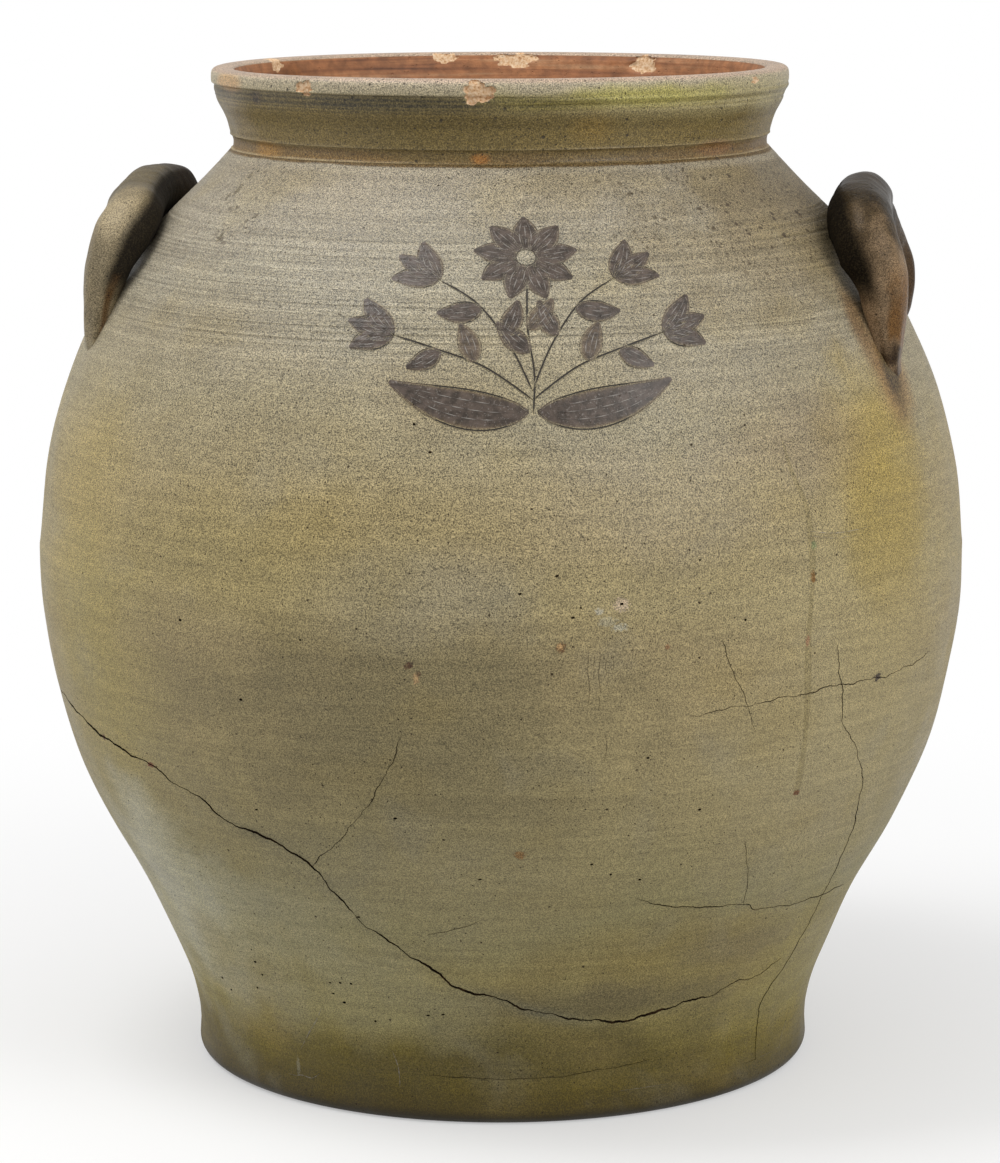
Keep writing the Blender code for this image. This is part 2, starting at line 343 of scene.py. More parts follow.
CRACK_SEEN = seen_at(smooth_path(MAIN_CRACK, 200))
CRACK_DENT_AZIMUTH, CRACK_DENT_SPREAD = seen_at([(640, 1005)])[0, 0], math.radians(22)
CRACK_DENT = 0.7 * MM
CRACK_DENT_RISE = 5.0 * MM
# reach of the painted shadow band along the main crack
CRACK_SHADOW_RISE = 3.2 * MM


def crack_dent(azimuth, height):
    """Hollow along the upper side of the main crack, where the lower edge stands proud of the upper one."""
    azimuth, height = np.broadcast_arrays(azimuth, height)
    turn = wrapped(azimuth)
    above = height - np.interp(turn, CRACK_SEEN[:, 0], CRACK_SEEN[:, 1])
    deep = 0.25 + 0.75 * np.exp(-(((turn - CRACK_DENT_AZIMUTH) / CRACK_DENT_SPREAD) ** 2))
    ends = smoothstep(turn, CRACK_SEEN[0, 0], CRACK_SEEN[0, 0] + 0.2)
    ends = ends * smoothstep(-turn, -CRACK_SEEN[-1, 0], 0.1 - CRACK_SEEN[-1, 0])
    hollow = np.exp(-((above / CRACK_DENT_RISE) ** 2)) * smoothstep(above, -2.5 * MM, 1.5 * MM)
    return -CRACK_DENT * deep * ends * hollow


def crack_shadow_band(grid):
    """Painted shadow along the main crack, where the wall above it hollows: 1 on the crack, fading within 6
    mm.
    """
    azimuth = azimuth_of(grid)
    away = grid[..., 2] - np.interp(azimuth, CRACK_SEEN[:, 0], CRACK_SEEN[:, 1])
    along = smoothstep(azimuth, -0.75, -0.35) * smoothstep(-azimuth, -0.75, -0.55)
    return along * (0.6 + 0.4 * np.sin(9 * azimuth)) * np.exp(-((away / CRACK_SHADOW_RISE) ** 2))


def wall_relief(azimuth, height):
    """How far the outside wall stands off its smooth outline."""
    return throwing_marks(azimuth, height) + hand_waves(azimuth, height) + crack_dent(azimuth, height)


def on_wall(azimuth, height, lift=0.0):
    """Points at an azimuth and height of the outside wall, with its relief, lifted off it by a distance."""
    azimuth, height, lift = np.broadcast_arrays(azimuth, height, lift)
    out, up = wall_normal(height)
    lift = lift + wall_relief(azimuth, height)
    radius = wall_radius(height) + lift * out
    return around(azimuth, radius, height + lift * up)


def faces_of_grid(rows, columns, close_rows):
    """Corner numbers of the four-sided faces of a grid whose last column meets its first."""
    row = np.arange(rows if close_rows else rows - 1)[:, None]
    column = np.arange(columns)[None, :]
    next_row = (row + 1) % rows
    next_column = (column + 1) % columns
    corners = [row * columns + column, row * columns + next_column]
    corners += [next_row * columns + next_column, next_row * columns + column]
    return np.stack([np.broadcast_to(c, (row.size, column.size)).ravel() for c in corners], axis=1)


class Surface:
    """Points, faces and named values of a piece, gathered before its mesh is made.

    stroke is the half width of the lines that are drawn with it.
    """

    def __init__(self, stroke=0.0):
        self.stroke = stroke
        self.points = []
        self.faces = []
        self.values = {}
        self.count = 0

    def add_grid(self, grid, close_rows=False, caps=(), **values):
        """Add a (rows, columns, 3) grid. A cap closes the first or last row with a fan to its middle."""
        rows, columns = grid.shape[:2]
        points = [grid.reshape(-1, 3)]
        faces = [faces_of_grid(rows, columns, close_rows)]
        each = {name: [np.broadcast_to(value, (rows, columns)).ravel()] for name, value in values.items()}
        extra = rows * columns
        for cap in caps:
            ring = np.arange(columns) + (0 if cap == "first" else (rows - 1) * columns)
            following = np.roll(ring, -1)
            middle = np.full(columns, extra)
            order = (following, ring, middle) if cap == "first" else (ring, following, middle)
            faces.append(np.stack(order + (np.full(columns, -1),), axis=1))
            row = grid[0 if cap == "first" else -1]
            points.append(row.mean(axis=0)[None, :])
            for name in each:
                each[name].append(each[name][0][ring[:1]])
            extra += 1
        stacked = np.concatenate(faces)
        stacked = np.where(stacked >= 0, stacked + self.count, -1)
        self.points.append(np.concatenate(points))
        self.faces.append(stacked)
        for name in set(self.values) | set(each):
            old = self.values.setdefault(name, [np.zeros(self.count)])
            old.append(np.concatenate(each[name]) if name in each else np.zeros(extra))
        self.count += extra

    def make(self, name, material, slot, *nodes, sharp_degrees=40):
        """One mesh object at the origin, its faces turned outwards by the sign of its volume, and placed."""
        points = np.concatenate(self.points)
        faces = np.concatenate(self.faces)
        corners = points[faces[:, :3]]
        volume = np.einsum("ij,ij->i", corners[:, 0], np.cross(corners[:, 1], corners[:, 2])).sum()
        square = faces[:, 3] >= 0
        last = points[faces[square][:, [0, 2, 3]]]
        volume += np.einsum("ij,ij->i", last[:, 0], np.cross(last[:, 1], last[:, 2])).sum()
        lists = [face[:4] if face[3] >= 0 else face[:3] for face in faces.tolist()]
        if volume < 0:
            lists = [face[::-1] for face in lists]
        mesh = bpy.data.meshes.new(name)
        mesh.from_pydata(points.tolist(), [], lists)
        for label, parts in self.values.items():
            mesh.attributes.new(label, "FLOAT", "POINT").data.foreach_set("value", np.concatenate(parts))
        mesh.shade_smooth()
        mesh.set_sharp_from_angle(angle=math.radians(sharp_degrees))
        mesh.materials.append(material)
        piece = bpy.data.objects.new(name, mesh)
        bpy.context.scene.collection.objects.link(piece)
        place(piece, slot, *nodes)


def place(piece, slot, *nodes):
    """The piece rides on the jar's one body and stands for its nodes, which it hides; the slot is not used.
    """
    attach(piece, "root")
    if nodes:
        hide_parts(*nodes)


def fine_line(points, step):
    """The corners of a line, with points added so that none lie further apart than a step."""
    points = np.asarray(points, float)
    rows = []
    for start, end in zip(points, points[1:]):
        count = max(int(np.ceil(np.linalg.norm(end - start) / step)), 1)
        share = np.arange(count)[:, None] / count
        rows.append(start + (end - start) * share)
    rows.append(points[-1:])
    return np.concatenate(rows)


def arc_line(center, radius, start_degrees, end_degrees, count=7):
    """Points of (radius, height) on an arc about a centre in the outline's plane."""
    angle = np.radians(np.linspace(start_degrees, end_degrees, count))
    return np.stack([center[0] + radius * np.cos(angle), center[1] + radius * np.sin(angle)], axis=1)


def inner_wall(heights):
    """(radius, height) of the inside, a wall's thickness square to the outside at each height."""
    out, up = wall_normal(heights)
    return np.stack([wall_radius(heights) - WALL * out, heights - WALL * up], axis=1)


def turned(outline, columns, relief, outside):
    """Grid of a turned outline: row by row round the axis.

    A row of the outside moves along its own normal by the relief at its azimuth and height. The outside
    is a slice of the outline, and the rows beyond it keep their places. Columns lie closer at the front.
    """
    turn = np.linspace(0, 2 * math.pi, columns, endpoint=False)[None, :]
    azimuth = turn - FRONT_CROWDING * np.sin(turn)
    direction = np.gradient(outline[outside], axis=0)
    direction /= np.linalg.norm(direction, axis=1, keepdims=True)
    radius = np.repeat(outline[:, :1], columns, axis=1)
    level = np.repeat(outline[:, 1:], columns, axis=1)
    lift = relief(azimuth, level[outside])
    radius[outside] += lift * direction[:, 1:]
    level[outside] -= lift * direction[:, :1]
    return around(azimuth, radius, level)


def wall_rows(*zones):
    """Heights of the wall's rows: each zone gives its top and the distance up the wall between rows."""
    low = zones[0]
    heights = [np.array([low])]
    for top, step in zones[1:]:
        count = max(int(round((rise_at(top) - rise_at(low)) / step)), 1)
        rises = rise_at(low) + (rise_at(top) - rise_at(low)) * np.arange(1, count + 1) / count
        heights.append(height_at(rises))
        low = top
    return np.concatenate(heights)


def tongue_line(outer, inner, height, depth):
    """The V across the wall at a joint, from the outside in."""
    return np.array([(outer, height), (0.5 * (outer + inner), height - depth), (inner, height)])


WALL_COLUMNS = 296
FRONT_CROWDING = 0.4
AXIS_HOLE = 1.5 * MM  # radius of the ring that a cap closes in the middle of the floor


def make_lower_wall(material):
    """Foot, floor and lower wall: a turned outline from the underside's middle to the floor's middle."""
    heights = wall_rows(FOOT_BAND_HEIGHT, (0.110, 0.85 * MM), (BELLY_JOINT, 1.3 * MM))
    outside = np.stack([wall_radius(heights), heights], axis=1)
    foot = arc_line((FOOT_RADIUS - FOOT_ROUND, FOOT_ROUND), FOOT_ROUND, -90, 0, 9)
    under = fine_line([(AXIS_HOLE, 0.0), foot[0]], 3 * MM)
    inside = inner_wall(np.linspace(BELLY_JOINT, 0.036, 44))
    inside[0] = (outside[-1, 0] - WALL, BELLY_JOINT)
    corner = arc_line((FOOT_RADIUS - WALL - FLOOR_CORNER, FLOOR + FLOOR_CORNER), FLOOR_CORNER, 0, -90, 9)
    floor = fine_line([corner[-1], (AXIS_HOLE, FLOOR)], 5 * MM)
    groove = tongue_line(outside[-1, 0], inside[0, 0], BELLY_JOINT, TONGUE)
    outline = np.concatenate([under[:-1], foot, outside, groove[1:2], inside, corner, floor[1:]])
    first = len(under) - 1 + len(foot)
    last = first + len(outside)
    grid = turned(outline, WALL_COLUMNS, wall_relief, slice(first, last))
    rank = np.arange(len(outline))[:, None]
    values = {
        "inside": rank >= last,
        "bare": rank < len(under) - 1,
        "mark": mark_share(grid),
        # painted shadow band along the main crack
        "stain": crack_shadow_band(grid) * (rank < last),
    }
    surface = Surface()
    surface.add_grid(grid, caps=("first", "last"), **values)
    surface.make("lower_wall", material, "lower_body", "lower_body")


def make_shoulder(material):
    """Belly's upper half and shoulder: a closed turned outline, with close rows where the marks are."""
    heights = wall_rows(BELLY_JOINT, (0.270, 1.5 * MM), (0.309, 0.30 * MM), (NECK_HEIGHT, 0.5 * MM))
    outside = np.stack([wall_radius(heights), heights], axis=1)
    throat = NECK_RADIUS - WALL
    groove = tongue_line(NECK_RADIUS, throat, NECK_HEIGHT, NECK_TONGUE)
    inside = inner_wall(np.linspace(NECK_HEIGHT - 3 * MM, BELLY_JOINT, 46))
    inside = inside[(inside[:, 1] < NECK_HEIGHT - 6 * MM) & (inside[:, 1] > BELLY_JOINT + 1 * MM)]
    tongue = tongue_line(outside[0, 0], wall_radius(BELLY_JOINT) - WALL, BELLY_JOINT, TONGUE)
    ends = np.array([(throat, NECK_HEIGHT - 5 * MM)])
    outline = np.concatenate([outside, groove[1:], ends, inside, tongue[:0:-1]])
    grid = turned(outline, WALL_COLUMNS, wall_relief, slice(0, len(outside)))
    rank = np.arange(len(outline))[:, None]
    surface = Surface()
    surface.add_grid(grid, close_rows=True, inside=rank >= len(outside), mark=mark_share(grid))
    surface.make("shoulder_wall", material, "upper_body", "upper_body")


# Collar and lip
COLLAR_COLUMNS = 600
LIP_BEAD = 6.2 * MM
LIP_STEP = 0.8 * MM
COLLAR_MIDDLE = 0.0985
ABOVE_LIP = 0.36
BELOW_LIP = 0.3555
# The outside's marks, (out, up) in millimetres: from the neck, from the step under the lip, from the
# bead's lower edge, from the lip's outer edge and from its inner edge
COLLAR_FOOT = (
    (0, 0), (-0.7, 0.7), (-0.8, 2.6), (-0.4, 4.0), (0.3, 4.6), (0.3, 5.2), (0.5, 6.4), (1.9, 11.0),
)
UNDER_BEAD = ((-1.2, -5.5), (0, -0.9), (0.05, -0.25))
BEAD = ((-0.6, 0.1), (-0.05, 0.9))
OUTER_EDGE = ((0, -2.6), (-0.4, -1.2), (-1.4, -0.3), (-3.0, 0))
INNER_EDGE = ((2.4, -0.1), (0.7, -0.6), (0, -1.9))
LIP_CHIPS = (
    # pixel of the photograph, half width, half height and depth in millimetres
    ((478, 93), 5.4, 3.9, 1.4),
    ((303, 88), 3.7, 2.5, 0.8),
    ((756, 80), 2.4, 1.2, 0.3),
)
INNER_CHIPS = (
    ((516, 60), 9.0, 2.6, 0.6),
    ((643, 65), 6.0, 3.4, 0.9),
    ((278, 64), 3.6, 3.0, 0.5),
    ((445, 58), 5.5, 1.8, 0.4),
)


def collar_outline():
    """(radius, height) of the collar, from the foot of its outside over the lip and down the inside."""
    parts = (
        (COLLAR_FOOT, (NECK_RADIUS, NECK_HEIGHT)),
        (UNDER_BEAD, (LIP_RADIUS - LIP_STEP, HEIGHT - LIP_BEAD)),
        (BEAD, (LIP_RADIUS, HEIGHT - LIP_BEAD)),
        (OUTER_EDGE, (LIP_RADIUS, HEIGHT)),
        (INNER_EDGE, (LIP_RADIUS - WALL, HEIGHT)),
    )
    outside = smooth_path(np.concatenate([np.array(marks) * MM + start for marks, start in parts]), 1200)
    inside = fine_line([outside[-1], (NECK_RADIUS - WALL, NECK_HEIGHT)], 0.9 * MM)
    return even_path(outside, 0.34 * MM), inside[1:]


def inner_flare(height):
    """Inside radius of the collar at a height."""
    return np.interp(height, [NECK_HEIGHT, HEIGHT], [NECK_RADIUS - WALL, LIP_RADIUS - WALL])


COLLAR_LINES = (
    # numbers of the first and last line, lowest and highest level, depth and half width
    (0, 10, HEIGHT - 11 * MM, HEIGHT - LIP_BEAD, 0.22 * MM, 0.34 * MM),
    (10, 16, NECK_HEIGHT + 6 * MM, HEIGHT - 13 * MM, 0.05 * MM, 0.9 * MM),
)


def collar_lines(azimuth, height):
    """Fine lines round the collar: close and deep under the lip, wide and faint below them."""
    relief = np.zeros(np.broadcast(azimuth, height).shape)
    chance = ripple(23, 16, 4)
    for first, last, low, high, deepest, half_width in COLLAR_LINES:
        count = last - first
        for number in range(first, last):
            level = low + (high - low) * (number % count + chance[number, 0]) / count
            fade = 0.5 + 0.5 * np.sin((1 + number % 3) * azimuth + PHASE * chance[number, 1])
            depth = deepest * (0.4 + 0.6 * chance[number, 2]) * fade
            relief -= depth * np.exp(-(((height - level) / half_width) ** 2))
    return relief


def collar_relief(azimuth, height):
    """The collar's lines and slow waves, its undercut below the lip on the left and none on the right."""
    turn = wrapped(azimuth)
    right = smoothstep(turn, math.radians(-4), math.radians(26)) * smoothstep(-turn, -2.6, -1.9)
    below = height - HEIGHT + LIP_BEAD
    filled = 0.85 * MM * right * np.exp(-(((below + 0.9 * MM) / (1.3 * MM)) ** 2)) * (below < 0.4 * MM)
    cut = 0.35 * MM * (1 - right) * np.exp(-(((below + 0.3 * MM) / (0.5 * MM)) ** 2))
    waves = 0.09 * MM * (np.sin(2 * azimuth + 0.8) + np.sin(3 * azimuth + 2.0) - 2)
    return waves + filled - cut + collar_lines(azimuth, height)


CHIP_SEED = 31
RAGGED_SEED = 47


def chip_mask(azimuth, height, center, half_width, half_height, seed):
    """1 inside a chip and 0 outside it: an ellipse whose edge wanders with the angle about its middle."""
    across = wrapped(azimuth - center[0]) * LIP_RADIUS / half_width
    upward = (height - center[1]) / half_height
    angle = np.arctan2(upward, across)
    phase = PHASE * ripple(seed, 4)
    edge = 1 + 0.13 * np.sin(3 * angle + phase[0]) + 0.10 * np.sin(5 * angle + phase[1])
    edge = edge + 0.07 * np.sin(8 * angle + phase[2]) + 0.05 * np.sin(13 * angle + phase[3])
    return smoothstep(edge - np.hypot(across, upward), -0.02, 0.16)


def make_collar(material):
    """Flared collar with its ridge, groove and rounded lip, and the chips knocked out of the lip."""
    outside, inside = collar_outline()
    tongue = tongue_line(NECK_RADIUS, NECK_RADIUS - WALL, NECK_HEIGHT, NECK_TONGUE)
    outline = np.concatenate([outside, inside, tongue[1:2]])
    grid = turned(outline, COLLAR_COLUMNS, collar_relief, slice(0, len(outside)))
    azimuth = azimuth_of(grid)
    height = grid[..., 2]
    radius = np.hypot(grid[..., 0], grid[..., 1])
    outer = radius > LIP_RADIUS - 0.5 * WALL
    chipped = np.zeros(height.shape)
    depth = np.zeros(height.shape)
    centers = seen_at([chip[0] for chip in LIP_CHIPS], False, upright(LIP_RADIUS), high=ABOVE_LIP)
    chips = [(center, chip, outer) for center, chip in zip(centers, LIP_CHIPS)]
    centers = seen_at([chip[0] for chip in INNER_CHIPS], True, inner_flare, high=BELOW_LIP)
    chips += [(center, chip, ~outer) for center, chip in zip(centers, INNER_CHIPS)]
    for number, (center, (_, half_width, half_height, deep), side) in enumerate(chips):
        mask = chip_mask(azimuth, height, center, half_width * MM, half_height * MM, CHIP_SEED + number)
        mask = mask * side
        chipped = np.maximum(chipped, mask)
        depth += deep * MM * mask * np.where(outer, 1, -1)
    ragged = ripple(RAGGED_SEED, *height.shape) - 0.5
    depth += 0.12 * MM * ragged * smoothstep(chipped, 0.5, 1.0)
    radius = radius - depth
    grid = around(azimuth, radius, height)
    rank = np.arange(len(outline))[:, None]
    crest = np.argmax(outline[:, 1])
    past = outline[:, 0][:, None] < LIP_RADIUS - WALL + 0.3 * MM
    inner = ((rank > crest) & (past | (rank >= len(outside)))).astype(float)
    top = smoothstep(outline[:, 1][:, None], HEIGHT - 1.6 * MM, HEIGHT - 0.4 * MM)
    surface = Surface()
    # Depth of the collar's lines, from which the glaze paints shade in them and highlight between them
    mark = np.clip(collar_lines(azimuth, height) / (0.16 * MM) + 0.25, -1, 1) * (1 - inner) * (1 - chipped)
    surface.add_grid(grid, close_rows=True, inside=inner, chip=chipped, crest=top * (1 - inner), mark=mark)
    surface.make("collar_and_lip", material, "collar", "collar")


# Handles, from the front foot over the crown to the back foot:
# drop below the neck, distance from the middle, lift off the wall, half width and half depth in millimetres
LEFT_HANDLE_MARKS = (
    (79, -51.5, -4.6, 4.6, 3.6),
    (69, -51.8, -4, 6.2, 3.8),
    (61, -52.1, -0.2, 7.2, 4.6),
    (52, -52.3, 3.4, 8, 6),
    (42.7, -52.2, 8, 8.8, 7.8),
    (35.1, -49, 11, 9.8, 9.4),
    (29.8, -40, 10.2, 10.6, 10),
    (27.4, -26, 9.6, 10.6, 9.4),
    (25.4, 0, 9.9, 10.4, 9.4),
    (26.2, 26, 10.3, 10.6, 9.9),
    (30.6, 41, 10.4, 10.4, 9.7),
    (38.1, 50, 10, 9.6, 8.8),
    (50, 52, 5.2, 8, 6.6),
    (64, 52, -0.4, 6.6, 4.2),
    (79, 51.5, -4.6, 4.6, 3.6),
)
RIGHT_HANDLE_MARKS = (
    (79, -51.2, -4.6, 4.8, 3.4),
    (71, -51.5, -2.2, 6.2, 3.6),
    (63.1, -51.6, 1.2, 8, 5),
    (53.5, -51.8, 6, 9, 7.4),
    (45.5, -51.8, 11.2, 9.5, 9.2),
    (38.4, -50, 14.6, 9.8, 9.8),
    (32.3, -42, 15, 10, 10),
    (27.5, -28, 12.8, 10.2, 10.2),
    (26.2, -2, 10.4, 10.2, 10.1),
    (30, 28, 10.2, 10.2, 9.9),
    (37, 43, 10.1, 9.8, 9.6),
    (45, 51.2, 10, 9.6, 9.2),
    (53, 53, 8.6, 9, 8.2),
    (62, 52.6, 3.6, 8, 6.2),
    (70, 52, -1.8, 6.2, 3.8),
    (79, 51.2, -4.6, 4.8, 3.4),
)
HANDLE_PATH_POINTS = 900
HANDLE_STEP = 0.62 * MM
HANDLE_COLUMNS = 84
PRESSED_LIFT = 0.0045  # a bar whose middle lies lower than this over the wall is pressed wide
HANDLE_GAP = 0.5 * MM


def handle_grid(marks, side):
    """Sweep of a flattened oval along the handle's path, with the places used to colour it.

    The path's marks stand off the wall square to it. At each point the oval lies between the wall's
    normal and the direction square to the path, and near the feet the half that faces the wall widens,
    as clay does where it is pressed on.
    """
    rows = smooth_path(marks, HANDLE_PATH_POINTS)
    height = NECK_HEIGHT - rows[:, 0]
    out, up = wall_normal(height)
    lateral = np.arcsin(np.clip(rows[:, 1] / wall_radius(height), -1, 1))
    azimuth = math.pi / 2 + lateral
    radius = wall_radius(height) + rows[:, 2] * out
    path = around(azimuth, radius, height + rows[:, 2] * up)
    even = even_path(np.concatenate([path, rows[:, 2:]], axis=1), HANDLE_STEP)
    path, lift, half_width, half_depth = even[:, :3], even[:, 3], even[:, 4], even[:, 5]
    azimuth = azimuth_of(path)
    out, up = wall_normal(path[:, 2])
    normal = around(azimuth, out, up)
    tangent = np.gradient(path, axis=0)
    tangent /= np.linalg.norm(tangent, axis=1, keepdims=True)
    sideways = np.cross(tangent, normal)
    sideways /= np.linalg.norm(sideways, axis=1, keepdims=True)
    away = np.cross(sideways, tangent)
    angle = np.linspace(0, 2 * math.pi, HANDLE_COLUMNS, endpoint=False)[None, :]
    cosine, sine = np.cos(angle), np.sin(angle)
    pressed = smoothstep(PRESSED_LIFT - lift, 0.0, PRESSED_LIFT)[:, None]
    toward = np.clip(-sine, 0, 1)
    spread = 1 + 0.55 * pressed * toward**1.5
    room = np.clip((lift - HANDLE_GAP) / half_depth, 1, 1.35)[:, None]
    flat = 1 + (room - 1) * toward
    along = arc_lengths(path)[:, None]
    dents = 0.26 * MM * (np.sin(along / 0.0065 + 2 * angle + side) + np.sin(along / 0.0111 - angle))
    dents = dents + 0.12 * MM * np.sin(7 * angle + 0.6 * np.sin(along / 0.008))
    dents = dents + 0.07 * MM * np.sin(along / 0.0021 + 3 * angle) * np.sin(along / 0.0035 - 5 * angle)
    across = (half_width[:, None] * spread + dents) * cosine
    deep = (half_depth[:, None] * flat + dents) * sine
    grid = path[:, None, :] + across[..., None] * sideways[:, None, :] + deep[..., None] * away[:, None, :]
    grid[..., 0] *= side
    return grid, -sine, np.abs(along / along[-1] - 0.5) * 2


def make_handle(name, node, marks, side, share, material):
    """One handle: the sweep of handle_grid, its bar thickened by a share."""
    grid, toward, reach = handle_grid(np.array(marks) * MM * (1, 1, 1, share, share), side)
    surface = Surface()
    surface.add_grid(grid, caps=("first", "last"), toward=toward, reach=reach)
    surface.make(name, material, node, node, sharp_degrees=80)


def strip(surface, azimuth, height, half_width, section, **values):
    """Closed strip along a path on the wall.

    Each point of the section is a share of the half width across and a lift off the wall. The share is
    laid out along the wall's own surface, square to the path, so that a wide strip bends with the wall.
    The values are rows of numbers, one for each point of the section.
    """
    rise = rise_at(height)
    radius = wall_radius(height)
    run = np.gradient(azimuth) * radius
    climb = np.gradient(rise)
    length = np.maximum(np.hypot(run, climb), 1e-9)
    section = np.asarray(section)
    offset = half_width[:, None] * section[None, :, 0]
    turn = azimuth[:, None] - offset * (climb / length / radius)[:, None]
    level = height_at(rise[:, None] + offset * (run / length)[:, None])
    grid = on_wall(turn, level, section[None, :, 1] * MM)
    values = {key: np.asarray(row)[None, :] for key, row in values.items()}
    surface.add_grid(grid, caps=("first", "last"), **values)


# Sections of strips: share of the half width across, and lift off the wall in millimetres. All end under
# the wall's skin.
BURIED = -0.35
CUT_SECTION = (
    (-1.0, BURIED), (-1.0, 0.00), (-0.72, 0.15), (-0.45, 0.05), (0.0, 0.04),
    (0.45, 0.05), (0.72, 0.15), (1.0, 0.00), (1.0, BURIED),
)
CUT_GROOVE = (0.0, 0.0, 0.0, 1.0, 1.0, 1.0, 0.0, 0.0, 0.0)
RIDGE_SECTION = ((-1.0, BURIED), (-1.0, 0.02), (-0.4, 0.20), (0.4, 0.20), (1.0, 0.02), (1.0, BURIED))
# painted highlight along a leaf's ridge, by point of the section
RIDGE_GLINT = (0.0, 0.0, 1.0, 1.0, 0.0, 0.0)
WASH_SECTION = (
    (-1.0, BURIED), (-1.0, 0.02), (-0.84, 0.04), (-0.7, 0.08), (-0.35, 0.12),
    (0.0, 0.10), (0.35, 0.12), (0.7, 0.08), (0.84, 0.04), (1.0, 0.02), (1.0, BURIED),
)
WASH_SHARES = (0.0, 0.0, 0.34, 0.72, 1.0, 1.0, 1.0, 0.72, 0.34, 0.0, 0.0)
CRACK_SECTION = (
    (-1.0, BURIED), (-1.0, 0.05), (-0.5, 0.11), (0.0, 0.09), (0.5, 0.11), (1.0, 0.05), (1.0, BURIED),
)
CRACK_GROOVE = (0.9, 0.9, 1.0, 1.0, 1.0, 0.9, 0.9)


def taper(count, start, end):
    """Half width's share along a stroke that thins towards its ends."""
    place = np.linspace(0, 1, count)
    return np.clip(np.minimum(place / max(start, 1e-6), (1 - place) / max(end, 1e-6)), 0.12, 1)


# Decoration: a generic bunch of flowers, drawn on the unrolled shoulder about its own middle, in millimetres
SPRAY_PIXEL = (529, 305)


def spray_place(drawn):
    """(azimuth, height) of points drawn in millimetres to the right of and above the spray's middle."""
    middle = seen_at([SPRAY_PIXEL])[0]
    height = height_at(rise_at(middle[1]) + drawn[:, 1] * MM)
    return middle[0] + drawn[:, 0] * MM / wall_radius(height), height


def cut_line(surface, marks, weight=1.0, start=0.06, end=0.10):
    """A line cut along a smooth path through drawn marks."""
    drawn = even_path(smooth_path(marks, 400), 0.45)
    azimuth, height = spray_place(drawn)
    half_width = surface.stroke * weight * taper(len(drawn), start, end)
    strip(surface, azimuth, height, half_width, CUT_SECTION, groove=CUT_GROOVE)


def leaf_rib(base, degrees, length, bend):
    """Middle line of a leaf: from its base in a direction, turning by the bend along its length."""
    share = np.linspace(0, 1, 60)
    heading = np.radians(degrees) + np.radians(bend) * (share - 0.5)
    steps = np.stack([np.cos(heading), np.sin(heading)], axis=1) * length / (len(share) - 1)
    steps[0] = 0
    return np.asarray(base, float) + np.cumsum(steps, axis=0)


def leaf_half_width(share, widest):
    """A leaf's half width along its rib: a sine skewed so that the leaf is widest before its middle."""
    return widest * np.sin(math.pi * np.clip(share, 0, 1) ** 0.8) ** 0.85


def beside(line, distance):
    """The line moved sideways, to its left, by a distance at each point."""
    direction = np.gradient(line, axis=0)
    direction /= np.linalg.norm(direction, axis=1, keepdims=True)
    return line + np.stack([-direction[:, 1], direction[:, 0]], axis=1) * distance[:, None]


def leaf(cuts, fills, base, degrees, length, widest, bend=0.0, wash=1.0):
    """One leaf or petal: its washed-in slip, its outline cut round it, and ridges along it painted pale as
    highlights.
    """
    rib = leaf_rib(base, degrees, length, bend)
    share = np.linspace(0, 1, len(rib))
    half = leaf_half_width(share, widest)
    azimuth, height = spray_place(rib)
    washed = (half * 1.04 + 0.7) * MM
    strip(fills, azimuth, height, washed, WASH_SECTION, slip=np.multiply(WASH_SHARES, wash))
    for hand in (-1, 1):
        cut_line(cuts, beside(rib, hand * half)[::4], 0.9, 0.02, 0.02)
    for part in (-0.45, 0.0, 0.45) if widest > 3 else (0.0,):
        azimuth, height = spray_place(even_path(beside(rib, part * half)[8:52], 0.4))
        breaks = np.sin(np.arange(len(azimuth)) * 0.41 + 9 * part + length)
        half_width = 0.26 * MM * taper(len(azimuth), 0.2, 0.3) * (0.55 + 0.45 * breaks)
        strip(fills, azimuth, height, half_width, RIDGE_SECTION, slip=(wash,) * 6, glint=RIDGE_GLINT)


STEMS = (
    # marks, then its leaves: place along, turn off the stem, length, half width, bend, wash
    (((0, -38), (0.8, -24), (-0.8, -8), (0, 12)),
     ((0.50, 38, 15, 3.6, -20, 1.0), (0.66, -40, 14, 3.4, 20, 0.7))),
    (((0, -30), (7, -14), (17, 1), (29, 10)),
     ((0.40, 52, 14, 3.4, -24, 0.9), (0.62, -58, 15, 3.8, 30, 1.0))),
    (((0, -33), (15, -22), (30, -16), (45, -11)),
     ((0.42, 50, 14, 3.6, -22, 0.7), (0.66, -48, 13, 3.2, 24, 1.0))),
)
FLOWER_CENTER = (0, 19)
FLOWER_PETALS = 9


